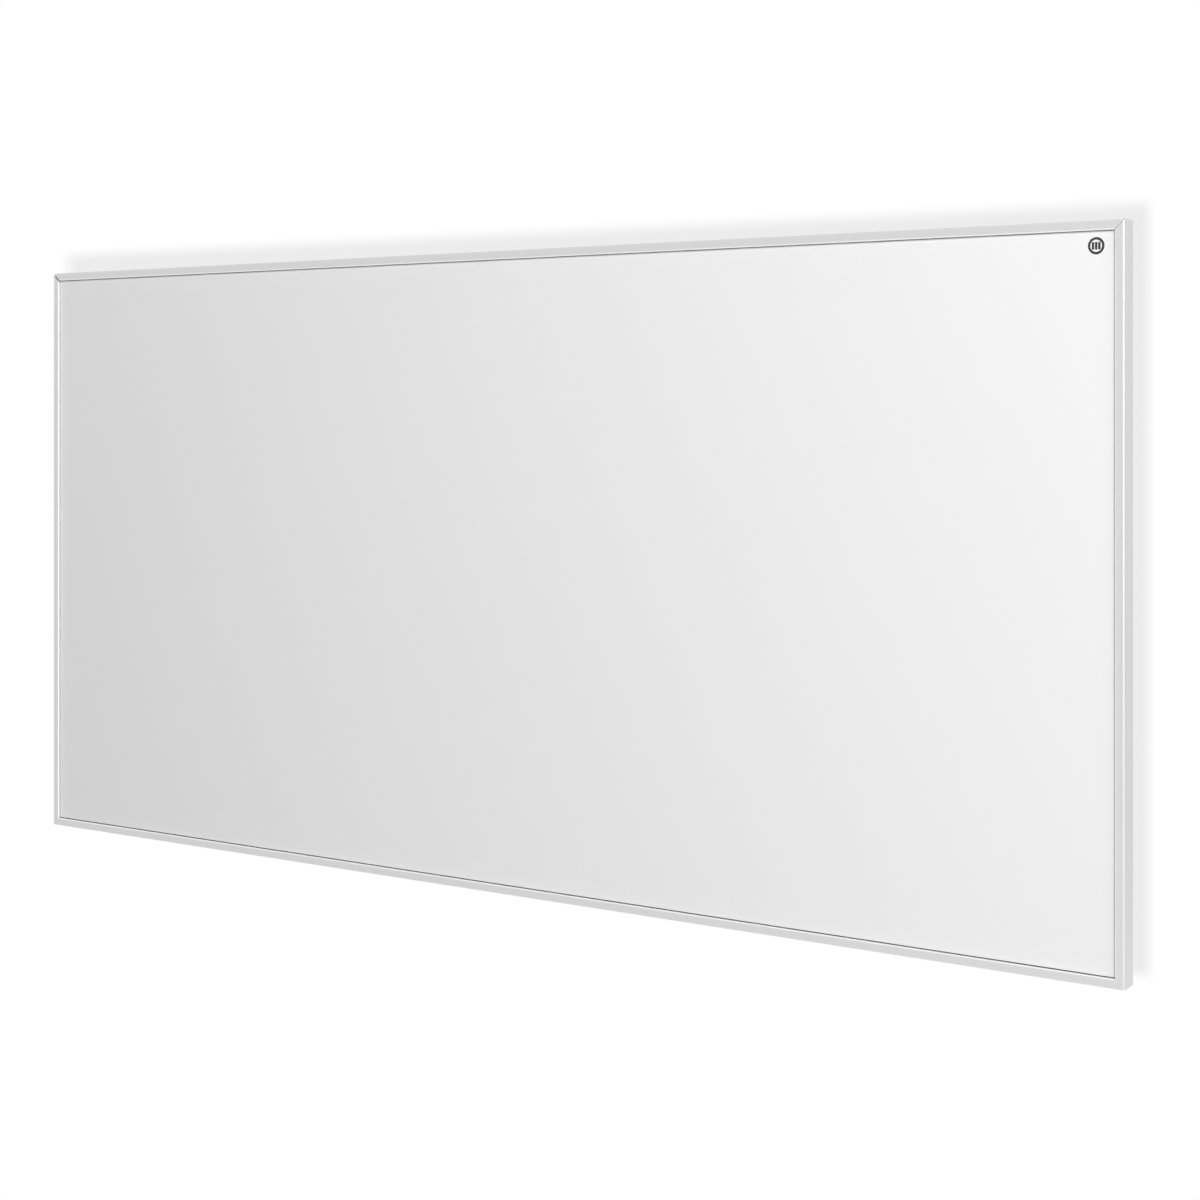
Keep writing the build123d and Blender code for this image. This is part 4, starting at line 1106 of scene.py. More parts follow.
@dataclass
class HangingBrackets:
    """Four bent steel brackets with keyholes for the wall screws."""

    places: tuple[Place, ...] = tuple(
        (x * MM, z * MM) for x in (-400, 400) for z in (-200, 200)
    )
    width: float = 60 * MM
    thickness: float = 2 * MM
    bend: float = 1.8 * MM
    bend_cuts: int = 6
    flange_top: float = 22 * MM
    web_height: float = -11 * MM
    foot_end: float = -32 * MM
    reach: float = 20 * MM
    corner: float = 4 * MM
    keyhole: float = 5 * MM
    slot_width: float = 5.4 * MM
    slot_rise: float = 12 * MM
    entry_steps: int = 32
    slot_steps: int = 12
    edge: float = 0.25 * MM
    screw: Screw = Screw(2.0 * MM, 4.0 * MM, 2.6 * MM, 8.0 * MM)
    screw_reach: float = 18 * MM
    screw_drop: float = 22 * MM

    def build(self) -> None:
        """Builds the four brackets and their screws."""
        for x, z in self.places:
            name = f"{'upper' if z > 0 else 'lower'}_{'right' if x > 0 else 'left'}"
            self.bracket(x, z, name)
        places = [
            (x + side * self.screw_reach, z - self.screw_drop)
            for x, z in self.places
            for side in (-1, 1)
        ]
        seat = self.reach - self.thickness
        add_screws("hanger_screws", self.screw, places, seat, "bracket_screws")

    def runs(self) -> tuple[float, float, float, float]:
        """Gives the lengths of the flat pattern, along the middle of the sheet.

        Returns:
            Those of the flange, the web, the foot and one bend.
        """
        half = self.thickness / 2
        flange = self.flange_top - self.web_height - self.bend
        web = self.reach - 2 * (half + self.bend)
        foot = self.web_height - self.bend - self.foot_end
        return flange, web, foot, self.bend * pi / 2

    def fold(self, run: float) -> tuple[float, float]:
        """Gives the place where a point of the flat pattern comes to lie.

        Args:
            run: Its distance from the flange's upper end.

        Returns:
            Its level and its height above the keyhole's centre.
        """
        flange, web, _, arc = self.runs()
        half, turn = self.thickness / 2, self.bend
        if run <= flange:
            return half, self.flange_top - run
        run -= flange
        if run <= arc:
            angle = run / turn
            bottom = self.flange_top - flange
            return half + turn * (1 - cos(angle)), bottom - turn * sin(angle)
        run -= arc
        if run <= web:
            return half + turn + run, self.web_height
        run -= web
        if run <= arc:
            angle = run / turn
            level = half + turn + web + turn * sin(angle)
            return level, self.web_height - turn * (1 - cos(angle))
        return self.reach - half, self.web_height - turn - (run - arc)

    def pattern(self) -> BMesh:
        """Draws the flat pattern with its keyhole, cut across where it bends.

        Returns:
            The mesh, x across and y down along the sheet.
        """
        flange, web, foot, arc = self.runs()
        length = flange + web + foot + 2 * arc
        bm = bmesh.new()
        outline = open_loop(bm, (0, length / 2), (self.width, length), self.corner, 0)
        fill_between(bm, outline, self.keyhole_loop(bm, Vector((0, self.flange_top, 0))))
        for bend in (flange, flange + arc + web):
            for step in range(self.bend_cuts + 1):
                cut(bm, (0, bend + arc * step / self.bend_cuts, 0), (0, 1, 0))
        return bm

    def keyhole_loop(self, bm: BMesh, centre: Vector) -> list[BMEdge]:
        """Draws the keyhole: a round entry with a slot that runs up from it.

        Args:
            bm: The pattern's mesh.
            centre: The middle of the entry.

        Returns:
            The edges of the loop.
        """
        half = self.slot_width / 2
        drop = (self.keyhole**2 - half**2) ** 0.5
        top = centre - Vector((0, self.slot_rise, 0))
        gap = 2 * Vector((drop, half)).angle(Vector((1, 0)))
        before = set(bm.edges)
        start = bmesh.ops.create_vert(bm, co=centre + Vector((half, -drop, 0)))["vert"][0]
        side = self.arc(bm, start, centre, 2 * pi - gap, self.entry_steps)
        end = bmesh.ops.extrude_vert_indiv(bm, verts=[side])["verts"][0]
        end.co = top - Vector((half, 0, 0))
        last = self.arc(bm, end, top, pi, self.slot_steps)
        bmesh.ops.contextual_create(bm, geom=[last, start])
        return [edge for edge in bm.edges if edge not in before]

    def arc(self, bm: BMesh, start: BMVert, centre: Vector, angle: float, steps: int) -> BMVert:
        """Draws an arc round a centre.

        Args:
            bm: The pattern's mesh.
            start: The vertex that it starts from.
            centre: Its centre.
            angle: The angle that it turns through.
            steps: The number of its edges.

        Returns:
            Its last vertex.
        """
        made = bmesh.ops.spin(
            bm, geom=[start], cent=centre, axis=(0, 0, 1), dvec=(0, 0, 0), angle=angle,
            steps=steps, use_merge=False, use_duplicate=False,
        )
        return next(item for item in made["geom_last"] if isinstance(item, BMVert))

    def bracket(self, x: float, z: float, name: str) -> None:
        """Folds one bracket to shape.

        Args:
            x: Its keyhole's place across.
            z: Its keyhole's height.
            name: Which of the four it is.
        """
        bm = self.pattern()
        for vert in bm.verts:
            level, height = self.fold(vert.co.y)
            vert.co = (x + vert.co.x, z + height, level)
        piece = add_piece(bm, f"hanger_{name}", ZINC_PLATE, [f"bracket_{name}"], smooth=25)
        thicken(piece, self.thickness, offset=0.0)
        rim = piece.modifiers.new("Broken edges", "BEVEL")
        rim.width = self.edge
        rim.segments = 2
        rim.limit_method = "ANGLE"
        rim.angle_limit = radians(60)
        piece.modifiers.move(2, 1)


@dataclass
class TerminalBox:
    """The terminal box: its base, lid and lid screws, and what it holds."""

    centre: Place = (290 * MM, -233 * MM)
    size: Place = (120 * MM, 70 * MM)
    corner: float = 4 * MM
    wall: float = 2 * MM
    lid_back: float = 2 * MM
    lid_front: float = 4 * MM
    rim: float = 4.8 * MM
    front: float = 20 * MM
    base_edge: float = 1.0 * MM
    lid_edge: float = 0.5 * MM
    field: Place = (88 * MM, 44 * MM)
    field_corner: float = 3 * MM
    field_depth: float = 0.3 * MM
    boss_reach: Place = (55 * MM, 30 * MM)
    boss_radius: float = 3.5 * MM
    boss_bore: float = 1.55 * MM
    screw: Screw = Screw(1.5 * MM, 2.9 * MM, 1.4 * MM, 10.0 * MM, sunk=True, flat=0.95)
    sink_radius: float = 3.0 * MM
    screw_hole: float = 1.75 * MM
    floor_screw_reach: Place = (45 * MM, 20 * MM)
    earth_hole: float = 2.25 * MM
    grommet_shift: Place = (22 * MM, 19 * MM)
    grommet_hole: float = 11 * MM
    gland_shift: float = -32 * MM
    gland_hole: float = 5.95 * MM
    switch_shift: float = 22 * MM
    switch_hole: Place = (13.6 * MM, 9.6 * MM)
    switch_corner: float = 0.4 * MM
    inlet_level: float = 11 * MM

    def build(self) -> None:
        """Builds the box, its lid, its gland and its switch, and dresses what is inside."""
        self.base()
        self.lid()
        corners = self.around(self.boss_reach)
        add_screws("box_lid_screws", self.screw, corners, self.lid_back, "lid_screws")
        bottom = self.centre[1] - self.size[1] / 2
        for fitting, shift in ((Gland, self.gland_shift), (Switch, self.switch_shift)):
            spot = (self.centre[0] + shift, -self.inlet_level, bottom)
            fitting(Matrix.Translation(spot)).build()
        dress({
            RUBBER_BLACK: ["box_seal", "wire_grommet"],
            ZINC_SCREW: ["box_screws", "box_nuts", "earth_screw", "earth_nut", "clamp_screws"],
            TINNED: ["earth_lug", "switch_tabs", "spade_connectors"],
            BLOCK_PLASTIC: ["terminal_block"],
            DRAWN_CAN: ["thermal_cutout"],
            GLAND_NYLON: ["gland_locknut"],
            BROWN_SLEEVE: ["line_lead", "switched_lead", "element_lead"],
            BLUE_SLEEVE: ["neutral_lead"],
            GREEN_SLEEVE: ["earth_lead"],
        })

    def around(self, reach: Place) -> list[Place]:
        """The four places at a reach from the middle of the box."""
        x, z = self.centre
        return [(x + i * reach[0], z + j * reach[1]) for i in (-1, 1) for j in (-1, 1)]

    def base(self) -> None:
        """Builds the hollow base with its bosses, and its holes for screws, leads and inlets."""
        bm = bmesh.new()
        floor = self.front - self.wall
        inside = shrunk(self.size, self.wall)
        outer = open_loop(bm, self.centre, self.size, self.corner, self.rim)
        inner = open_loop(bm, self.centre, inside, self.corner - self.wall, self.rim)
        fill_between(bm, outer, inner)
        turn = round_steps(-self.base_edge, self.base_edge, rise_first=True)
        outer = draw_loop(bm, outer, [(0, self.front - self.rim - self.base_edge), *turn])
        inner = draw_loop(bm, inner, [(0, floor - self.rim - self.base_edge), *turn])
        x, z = self.centre
        grommet = (x + self.grommet_shift[0], z + self.grommet_shift[1])
        holes = [(place, self.screw_hole) for place in self.around(self.floor_screw_reach)]
        holes += [(self.centre, self.earth_hole), (grommet, self.grommet_hole)]
        fronts = [ring_loop(bm, place, radius, self.front) for place, radius in holes]
        backs = [ring_loop(bm, place, radius, floor) for place, radius in holes]
        fill_between(bm, outer, *fronts)
        fill_between(bm, inner, *backs)
        outlets = [
            self.open_wall(bm, z - self.size[1] / 2),
            self.open_wall(bm, z - inside[1] / 2),
        ]
        for pair in [*zip(fronts, backs), *zip(*outlets)]:
            bmesh.ops.bridge_loops(bm, edges=[edge for loop in pair for edge in loop])
        for place in self.around(self.boss_reach):
            self.boss(bm, place, floor)
        add_piece(bm, "box_base", BOX_PLASTIC, ["terminal_box"], smooth=30)

    def open_wall(self, bm: BMesh, height: float) -> list[list[BMEdge]]:
        """Opens the holes for the gland and the switch in one face of the bottom wall.

        Args:
            bm: The base's mesh.
            height: The height of the face.

        Returns:
            The loops of the two holes.
        """
        wall = next(f for f in bm.faces if all(abs(v.co.y - height) < NEAR for v in f.verts))
        edges = list(wall.edges)
        bmesh.ops.delete(bm, geom=[wall], context="FACES_ONLY")
        loops = [
            ring_loop(bm, (0, 0), self.gland_hole, 0),
            open_loop(bm, (0, 0), self.switch_hole, self.switch_corner, 0),
        ]
        for loop, shift in zip(loops, (self.gland_shift, self.switch_shift)):
            spot = Matrix.Translation((self.centre[0] + shift, height, self.inlet_level))
            verts = list({vert for edge in loop for vert in edge.verts})
            bmesh.ops.transform(bm, matrix=spot @ STAND_UP, verts=verts)
        fill_between(bm, edges, *loops, normal=(0.0, 1.0, 0.0))
        return loops

    def boss(self, bm: BMesh, place: Place, floor: float) -> None:
        """Adds a hollow boss for a lid screw.

        Args:
            bm: The base's mesh.
            place: The place of its axis.
            floor: The level that it stands on.
        """
        radii = (self.boss_radius, self.boss_bore)
        loops = [ring_loop(bm, place, radius, self.rim) for radius in radii]
        wall = [(0, floor - self.rim)]
        close_hollow(bm, loops, wall, wall)

    def lid(self) -> None:
        """Builds the lid, with countersunk holes and a shallow bare field."""
        bm = bmesh.new()
        edge = self.lid_edge
        size = shrunk(self.size, edge)
        outer = open_loop(bm, self.centre, size, self.corner - edge, self.lid_back)
        field = open_loop(bm, self.centre, self.field, self.field_corner, self.lid_back)
        sinks = [
            ring_loop(bm, place, self.sink_radius, self.lid_back)
            for place in self.around(self.boss_reach)
        ]
        fill_between(bm, outer, field, *sinks)
        close_loop(bm, draw_loop(bm, field, [(-self.field_depth, self.field_depth)]))
        depth = self.lid_front - self.lid_back
        outer = draw_loop(bm, outer, round_steps(edge, edge) + [(0, depth - edge)])
        cone = self.sink_radius - self.screw_hole
        bores = [draw_loop(bm, sink, [(-cone, cone), (0, depth - cone)]) for sink in sinks]
        fill_between(bm, outer, *bores)
        add_piece(bm, "box_cover", BOX_PLASTIC, ["box_lid"], smooth=30)


@dataclass
class Gland:
    """The cable gland in the bottom wall of the box, upright and open for a round cord.

    Heights are counted downward from the wall that it is screwed into.
    """

    spot: Matrix
    hex_width: float = 15 * MM
    thread_radius: float = 5.9 * MM
    thread_depth: float = 0.35 * MM
    pitch: float = 1.25 * MM
    bore: float = 4.0 * MM
    inner_length: float = 8 * MM
    flange_height: float = 5 * MM
    neck_length: float = 6 * MM
    seal_radius: float = 4.5 * MM
    seal_gap: float = 0.05 * MM
    seal_top: float = 3.6 * MM
    seal_length: float = 8 * MM
    cord_radius: float = 3.3 * MM
    nut_top: float = 5.6 * MM
    nut_height: float = 9.4 * MM
    nut_hex_height: float = 4.4 * MM
    nut_roof: float = 2.2 * MM
    nut_opening: float = 3.7 * MM
    dome_radius: float = 3.0 * MM
    dome_inset: float = 0.12 * MM
    dome_sides: int = 48
    corner: float = 0.5 * MM
    hex_edge: float = 0.3 * MM
    mouth_edge: float = 0.4 * MM

    def build(self) -> None:
        """Builds the body, the seal and the dome nut."""
        self.body()
        self.seal()
        self.nut()

    def hexagon(self, bm: BMesh, height: float, depth: float) -> tuple[list[BMEdge], ...]:
        """Draws the six sides of a nut, with their corners rounded.

        Args:
            bm: The mesh, which holds nothing else yet.
            height: The height of the upper end.
            depth: The height of the sides.

        Returns:
            The loops of the upper and the lower end.
        """
        close_loop(bm, ring_loop(bm, (0, 0), self.hex_width / 3**0.5, height, 6))
        bmesh.ops.bevel(
            bm, geom=bm.verts[:], offset=self.corner, offset_type="OFFSET", segments=4,
            profile=0.5, affect="VERTICES", material=-1,
        )
        upper = bm.edges[:]
        bmesh.ops.delete(bm, geom=bm.faces[:], context="FACES_ONLY")
        edge = self.hex_edge
        bmesh.ops.scale(
            bm, vec=Vector((1, 1, 1)) * (1 - 2 * edge / self.hex_width),
            space=Matrix.Translation((0, 0, -height)), verts=bm.verts,
        )
        steps = [(edge, -edge), (0, 2 * edge - depth), (-edge, -edge)]
        return upper, draw_loop(bm, upper, steps)

    def body(self) -> None:
        """Builds the body, threaded above and below its flange."""
        bm = bmesh.new()
        root = self.thread_radius - self.thread_depth
        upper, lower = self.hexagon(bm, 0, self.flange_height)
        rise = ring_loop(bm, (0, 0), root, 0)
        fill_between(bm, upper, rise)
        steps = thread_steps(self.inner_length, self.thread_depth, self.pitch)
        steps += [(self.bore - root, 0), (0, -self.inner_length - self.seal_top)]
        seat = draw_loop(bm, rise, steps)
        neck = ring_loop(bm, (0, 0), root, -self.flange_height)
        fill_between(bm, lower, neck)
        steps = thread_steps(-self.neck_length, self.thread_depth, self.pitch)
        bottom = self.flange_height + self.neck_length
        steps += [(self.seal_radius + self.seal_gap - root, 0), (0, bottom - self.seal_top)]
        fill_between(bm, seat, draw_loop(bm, neck, steps))
        add_piece(bm, "inlet_body", GLAND_NYLON, ["gland_body"], place=self.spot)

    def seal(self) -> None:
        """Builds the rubber seal that the nut presses round the cord."""
        bm = bmesh.new()
        edge = self.mouth_edge
        radii = (self.seal_radius, self.cord_radius)
        loops = [ring_loop(bm, (0, 0), radius, -self.seal_top) for radius in radii]
        side = (0, edge - self.seal_length)
        close_hollow(bm, loops, [side, (-edge, -edge)], [side, (0.5 * edge, -edge)])
        add_piece(bm, "inlet_seal", RUBBER_BLACK, ["gland_seal"], place=self.spot, smooth=30)

    def nut(self) -> None:
        """Builds the dome nut: a short hexagon that runs into a rounded dome."""
        bm = bmesh.new()
        upper, lower = self.hexagon(bm, -self.nut_top, self.nut_hex_height)
        radius, turn = self.hex_width / 2 - self.dome_inset, self.dome_radius
        shoulder = -self.nut_top - self.nut_hex_height
        dome = ring_loop(bm, (0, 0), radius, shoulder, self.dome_sides)
        fill_between(bm, lower, dome)
        edge = self.mouth_edge
        thread = self.thread_radius + self.seal_gap
        steps = [
            (0, turn + self.nut_hex_height - self.nut_height),
            *round_steps(-turn, -turn, rise_first=True),
            (self.nut_opening + edge - radius + turn, 0),
            *round_steps(-edge, edge),
            (0, self.nut_roof - edge),
            (thread - self.nut_opening, 0),
            (0, self.nut_height - self.nut_roof),
        ]
        fill_between(bm, upper, draw_loop(bm, dome, steps))
        add_piece(bm, "inlet_nut", GLAND_NYLON, ["gland_nut"], place=self.spot)


@dataclass
class Switch:
    """The rocker switch in the bottom wall of the box, its face down.

    Heights are counted from the wall that it is clipped into.
    """

    spot: Matrix
    bezel: Place = (16 * MM, 12 * MM)
    bezel_height: float = 1.8 * MM
    bezel_corner: float = 1.2 * MM
    bezel_edge: float = 0.5 * MM
    housing: Place = (13.4 * MM, 9.4 * MM)
    housing_height: float = 13 * MM
    cavity: Place = (11.2 * MM, 7.4 * MM)
    cavity_height: float = 5.6 * MM
    cavity_lip: float = 0.25 * MM
    corner: float = 0.5 * MM
    rocker_radius: float = 5.4 * MM
    rocker_sides: int = 64
    rocker_width: float = 7.0 * MM
    rocker_top: float = 2.6 * MM
    rocker_edge: float = 0.3 * MM
    face_angle: float = radians(11)
    face_drop: float = 1.6 * MM
    pin_radius: float = 0.9 * MM
    pin_length: float = 8.8 * MM
    pin_sides: int = 24
    mark_reach: float = 2.6 * MM
    mark_size: float = 1.1 * MM
    mark_line: float = 0.4 * MM
    mark_corner: float = 0.15 * MM
    mark_height: float = 0.03 * MM
    mark_sink: float = 0.005 * MM

    def build(self) -> None:
        """Builds the housing, the rocker and its two marks."""
        self.body()
        self.rocker()
        self.marks()

    def body(self) -> None:
        """Builds the housing with its bezel and the cavity for the rocker."""
        bm = bmesh.new()
        edge, lip = self.bezel_edge, self.cavity_lip
        size, corner = shrunk(self.bezel, edge), self.bezel_corner - edge
        outer = open_loop(bm, (0, 0), size, corner, -self.bezel_height)
        mouth = shrunk(self.cavity, -lip)
        cavity = open_loop(bm, (0, 0), mouth, self.corner, -self.bezel_height)
        fill_between(bm, outer, cavity)
        steps = round_steps(-lip, lip) + [(0, self.bezel_height + self.cavity_height - lip)]
        close_loop(bm, draw_loop(bm, cavity, steps))
        steps = round_steps(edge, edge) + [(0, self.bezel_height - edge)]
        outer = draw_loop(bm, outer, steps)
        root = open_loop(bm, (0, 0), self.housing, self.corner, 0)
        fill_between(bm, outer, root)
        close_loop(bm, draw_loop(bm, root, [(0, self.housing_height)]))
        add_piece(
            bm, "switch_body", SWITCH_SATIN, ["switch_housing"], place=self.spot, smooth=30
        )

    def tilt(self) -> Matrix:
        """Gives the rocker's place at rest.

        Returns:
            The transform from a drawing with x along its face, y up and z along its pivot.
        """
        turn = Matrix.Rotation(self.face_angle, 4, "Y") @ STAND_UP
        drop = self.face_drop - self.bezel_height
        return self.spot @ Matrix.Translation((0, 0, drop)) @ turn

    def rocker(self) -> None:
        """Builds the rocker: a disc with its top cut off and a shallow V as its face."""
        bm = bmesh.new()
        bmesh.ops.create_circle(
            bm, cap_ends=True, segments=self.rocker_sides, radius=self.rocker_radius
        )
        lean = Vector((-sin(self.face_angle), -cos(self.face_angle), 0))
        cut(bm, (0, 0, 0), (-1, 0, 0), trim=True)
        cut(bm, (0, self.rocker_top, 0), (0, 1, 0), trim=True)
        cut(bm, (0, -self.face_drop, 0), lean, trim=True)
        geometry = bm.verts[:] + bm.edges[:] + bm.faces[:]
        bmesh.ops.mirror(bm, geom=geometry, axis="X", merge_dist=2 * NEAR)
        bmesh.ops.dissolve_limit(bm, angle_limit=radians(1), verts=bm.verts, edges=bm.edges)
        half = self.rocker_width / 2
        bmesh.ops.translate(bm, vec=(0, 0, -half), verts=bm.verts)
        raise_faces(bm, bm.faces[:], Vector((0, 0, self.rocker_width)))
        bmesh.ops.recalc_face_normals(bm, faces=bm.faces)
        rims = [edge for level in (-half, half) for edge in edges_at(bm, level)]
        round_edges(bm, rims, self.rocker_edge)
        bmesh.ops.remove_doubles(bm, verts=bm.verts, dist=NEAR)
        pin = ring_loop(bm, (0, 0), self.pin_radius, -self.pin_length / 2, self.pin_sides)
        close_loop(bm, pin)
        close_loop(bm, draw_loop(bm, pin, [(0, self.pin_length)]))
        add_piece(
            bm, "switch_rocker", ROCKER_GLOSS, ["rocker"], "rocker", self.tilt(), smooth=25
        )

    def marks(self) -> None:
        """Prints a ring on the pressed side of the face and a bar on the other."""
        bm = bmesh.new()
        ring = ring_loop(bm, (0, 0), self.mark_size, 0)
        hole = ring_loop(bm, (0, 0), self.mark_size - self.mark_line, 0)
        fill_between(bm, ring, hole)
        self.lay_mark(bm, bm.faces[:], -1)
        ready = set(bm.faces)
        bar = (2 * self.mark_size, self.mark_line)
        rounded_face(bm, (0, 0), bar, self.mark_corner, 0)
        self.lay_mark(bm, [face for face in bm.faces if face not in ready], 1)
        add_piece(bm, "rocker_marks", MARK_WHITE, body="rocker", place=self.tilt(), smooth=30)

    def lay_mark(self, bm: BMesh, faces: list[BMFace], side: int) -> None:
        """Thickens a flat mark and lays it on one side of the rocker's face.

        Args:
            bm: The marks' mesh.
            faces: The mark's faces, round the origin.
            side: 1 for the side that stands out at rest, -1 for the other.
        """
        low = {vert for face in faces for vert in face.verts}
        high = raise_faces(bm, faces, Vector((0, 0, self.mark_height)))
        turn = STAND_UP @ Matrix.Translation((0, 0, -self.mark_sink))
        slope = Matrix.Rotation(-side * self.face_angle, 4, "Z")
        along = Matrix.Translation((side * self.mark_reach, 0, 0))
        down = Matrix.Translation((0, -self.face_drop, 0))
        bmesh.ops.transform(bm, matrix=down @ slope @ along @ turn, verts=[*low, *high])


# ---- The studio ------------------------------------------------------------------------------
class Reach(Enum):
    """What a lamp acts on."""

    ALL = "matt and shiny surfaces"
    MATT = "matt surfaces"
    SHINE = "shiny surfaces"


@dataclass(frozen=True)
class Lamp:
    """A square area lamp that aims at a point.

    Attributes:
        name: The lamp's name.
        place: Where it stands.
        aim: The point that it faces.
        size: The length of its side.
        power: Its power in watts.
        reach: The surfaces that it acts on.
    """

    name: str
    place: Point
    aim: Point
    size: float
    power: float
    reach: Reach = Reach.ALL

    def build(self) -> None:
        """Adds the lamp, unseen by the camera."""
        light = bpy.data.lights.new(self.name, "AREA")
        light.size = self.size
        light.energy = self.power
        lamp = bpy.data.objects.new(self.name, light)
        lamp.location = self.place
        direction = Vector(self.aim) - Vector(self.place)
        lamp.rotation_euler = direction.to_track_quat("-Z", "Y").to_euler()
        lamp.visible_camera = False
        lamp.visible_glossy = self.reach is not Reach.MATT
        lamp.visible_diffuse = self.reach is not Reach.SHINE
        bpy.context.scene.collection.objects.link(lamp)


@dataclass
class Studio:
    """A white wall, a pale floor, soft lamps and the camera.

    The shadow painted on the wall has two reaches past each edge of the panel: where it starts, and
    where it is full.
    """

    panel: Panel
    floor_height: float = -1.0
    floor_width: float = 30.0
    floor_grey: float = 0.4
    wall_width: float = 12.0
    wall_height: float = 5.0
    wall_behind: float = 0.3 * MM
    ambient: float = 0.27
    shiny_glow: float = 0.92
    low_left: Point = (-0.39, 0.0, -1.0)
    dim_reach: tuple[float, float] = (0.225, 0.345)
    dim: float = 0.15
    wall_shade: float = 0.16
    shade_left: Place = (39 * MM, 3 * MM)
    shade_right: Place = (13.5 * MM, -1.5 * MM)
    shade_bottom: Place = (-1 * MM, -13.5 * MM)
    shade_top: Place = (27.8 * MM, 10.2 * MM)
    shade_slant: float = 0.0066
    floor_glow: tuple[float, float] = (0.74, 0.9)
    floor_reach: tuple[float, float] = (1.5, 6.0)
    lamps: tuple[Lamp, ...] = (
        Lamp("key", (2.8, -3.2, 2.0), (0.2, 0.0, 0.0), 1.8, 185.0),
        Lamp("right_fill", (3.4, -0.9, 0.3), (0.6, 0.0, 0.0), 0.8, 14.5, Reach.MATT),
        Lamp("rear_high", (-0.5, 2.6, 1.7), (0.0, 0.0, 0.0), 1.6, 8.0),
        Lamp("rear_fill", (0.4, 2.8, 0.4), (0.0, 0.0, 0.0), 2.2, 36.0, Reach.MATT),
        Lamp("edge_shine", (3.2, -1.6, -0.2), (0.6, 0.0, -0.1), 1.6, 4.0, Reach.SHINE),
    )
    lens: float = 63.24
    sensor: float = 36.0
    shift: float = -0.158
    eye: Point = (1.159, -1.632, 0.151)
    turn: float = 33.32

    def build(self) -> None:
        """Builds the backdrop, the world, the lamps and the camera."""
        bpy.context.scene.view_settings.view_transform = "Standard"
        self.wall()
        self.floor()
        self.world()
        for lamp in self.lamps:
            lamp.build()
        self.camera()
        log.info("studio: %d lamps", len(self.lamps))

    def light_backdrop(self, graph: Graph, colour: Colour, glow: NodeSocket) -> None:
        """Gives a backdrop a matt surface that glows, and that can't be seen from behind.

        Args:
            graph: The graph of its material.
            colour: The colour of the surface.
            glow: What the camera sees on top of the light that falls on it.
        """
        matt = graph.add("BsdfDiffuse", {"Color": (*colour, 1)})
        path = graph.add("LightPath").outputs
        looked = graph.math(
            "MULTIPLY_ADD", path["Is Glossy Ray"], self.shiny_glow, path["Is Camera Ray"]
        )
        light = graph.add("Emission", {"Strength": graph.math("MULTIPLY", looked, glow)})
        lit = graph.add("AddShader", {0: matt.outputs["BSDF"], 1: light.outputs["Emission"]})
        clear = graph.add("BsdfTransparent")
        behind = graph.add("NewGeometry").outputs["Backfacing"]
        sides = graph.add(
            "MixShader", {0: behind, 1: lit.outputs["Shader"], 2: clear.outputs["BSDF"]}
        )
        graph.add("OutputMaterial", {"Surface": sides.outputs["Shader"]})

    def backdrop(self, name: str, size: Place, place: Matrix, material: Material) -> Object:
        """Adds one plane of the backdrop.

        Args:
            name: The plane's name.
            size: Its width and height.
            place: Its transform, from a plane that faces up.
            material: Its material.

        Returns:
            The plane.
        """
        bm = bmesh.new()
        rounded_face(bm, (0, 0), size, 0, 0)
        bmesh.ops.transform(bm, matrix=place, verts=bm.verts)
        mesh = bpy.data.meshes.new(name)
        bm.to_mesh(mesh)
        bm.free()
        mesh.materials.append(material)
        plane = bpy.data.objects.new(name, mesh)
        bpy.context.scene.collection.objects.link(plane)
        return plane

    def shade_edges(self, sign: int, across: Place, up: Place) -> list[Point]:
        """Gives the points where the shade on the wall starts and where it is full.

        Args:
            sign: -1 past the panel's left and bottom edges, 1 past its right and top edges.
            across: The two reaches past the upright edge.
            up: The two reaches past the level edge.

        Returns:
            The two points, apart in y too, which nothing reads.
        """
        x, z = self.panel.width / 2, self.panel.height / 2
        reaches = enumerate(zip(across, up))
        return [(sign * (x + right), index, sign * (z + top)) for index, (right, top) in reaches]

    def wall(self) -> None:
        """Stands a white wall behind the brackets, with a soft shadow painted above and to the
        right.
        """
        material, graph = open_material("wall_white")
        spot = graph.add("TexCoord").outputs["Object"]
        across = graph.add("SeparateXYZ", {"Vector": spot}).outputs["X"]
        slanted = graph.vector_math("MULTIPLY_ADD", across, (0, 0, self.shade_slant), spot)
        # The ramps paint a soft shadow on the wall past the panel's edges.
        ramps = []
        for starts, full in (
            self.shade_edges(-1, self.shade_left, self.shade_bottom),
            self.shade_edges(1, self.shade_right, self.shade_top),
        ):
            ramp = graph.add(
                "MapRange", {6: slanted, 7: starts, 8: full},
                data_type="FLOAT_VECTOR", interpolation_type="SMOOTHSTEP",
            )
            ramps.append(ramp.outputs["Vector"])
        inside = graph.vector_math("MULTIPLY", *ramps)
        parts = graph.add("SeparateXYZ", {"Vector": inside}).outputs
        shade = graph.math("MULTIPLY", parts["X"], parts["Z"])
        glow = graph.math("MULTIPLY_ADD", shade, -self.wall_shade, 1.0)
        self.light_backdrop(graph, grey(0.0), glow)
        middle = self.floor_height + self.wall_height / 2
        place = Matrix.Translation((0, self.wall_behind, middle)) @ STAND_UP
        wall = self.backdrop("wall", (self.wall_width, self.wall_height), place, material)
        wall.visible_diffuse = False
        wall.visible_glossy = False
        wall.visible_shadow = False

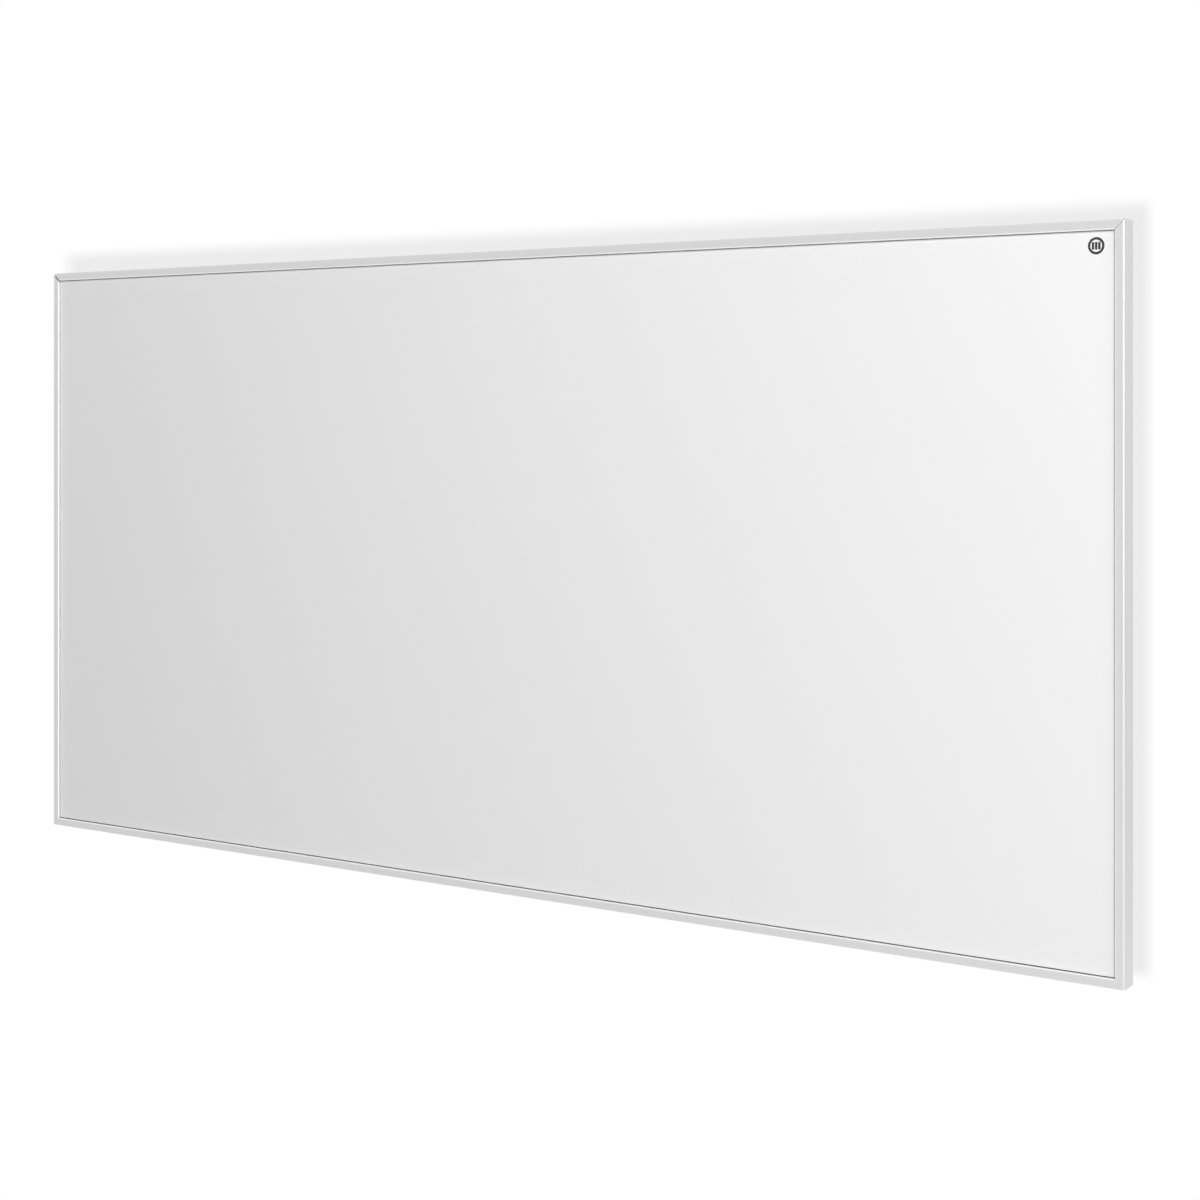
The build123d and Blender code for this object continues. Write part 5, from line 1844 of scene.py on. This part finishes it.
    def floor(self) -> None:
        """Lays a pale floor below the object, which glows more where the lamps don't reach."""
        material, graph = open_material("floor_pale")
        spot = graph.add("TexCoord").outputs["Object"]
        distance = graph.vector_math("LENGTH", spot, gives="Value")
        glow = graph.ramp(distance, *self.floor_reach, *self.floor_glow)
        self.light_backdrop(graph, grey(self.floor_grey), glow)
        place = Matrix.Translation((0, 0, self.floor_height))
        self.backdrop("floor", (self.floor_width, self.floor_width), place, material)

    def world(self) -> None:
        """Lights the scene evenly, and shows white to the camera and to shiny surfaces.

        Shiny surfaces see it a little darker low on the left, where the studio has no lamp.
        """
        world = bpy.data.worlds.new("studio")
        bpy.context.scene.world = world
        world.use_nodes = True
        graph = Graph(world.node_tree)
        path = graph.add("LightPath").outputs
        looked = graph.math("MAXIMUM", path["Is Camera Ray"], path["Is Glossy Ray"])
        looked = graph.math("MAXIMUM", looked, path["Is Transmission Ray"])
        strength = graph.ramp(looked, 0.0, 1.0, self.ambient, 1.0)
        way = graph.add("TexCoord").outputs["Generated"]
        low = graph.vector_math("DOT_PRODUCT", way, self.low_left, gives="Value")
        dim = graph.ramp(low, *self.dim_reach, 0.0, self.dim)
        dim = graph.math("MULTIPLY", dim, path["Is Glossy Ray"])
        strength = graph.math("SUBTRACT", strength, dim)
        background = graph.add("Background", {"Color": (1, 1, 1, 1), "Strength": strength})
        graph.add("OutputWorld", {"Surface": background.outputs["Background"]})

    def camera(self) -> None:
        """Sets the camera at the photograph's place and angle."""
        data = bpy.data.cameras.new("camera")
        data.lens = self.lens
        data.sensor_width = self.sensor
        data.sensor_fit = "HORIZONTAL"
        data.shift_y = self.shift
        camera = bpy.data.objects.new("camera", data)
        camera.location = self.eye
        camera.rotation_euler = (pi / 2, 0, radians(self.turn))
        bpy.context.scene.collection.objects.link(camera)
        bpy.context.scene.camera = camera


def main() -> None:
    """Builds the heater and its studio."""
    logging.basicConfig(level=logging.INFO, format="%(message)s")
    panel = Panel()
    Studio(panel).build()
    Frame(panel).build()
    HeatingFront(panel).build()
    RearCover(panel).build()
    HangingBrackets().build()
    TerminalBox().build()


if __name__ == "__main__":
    main()
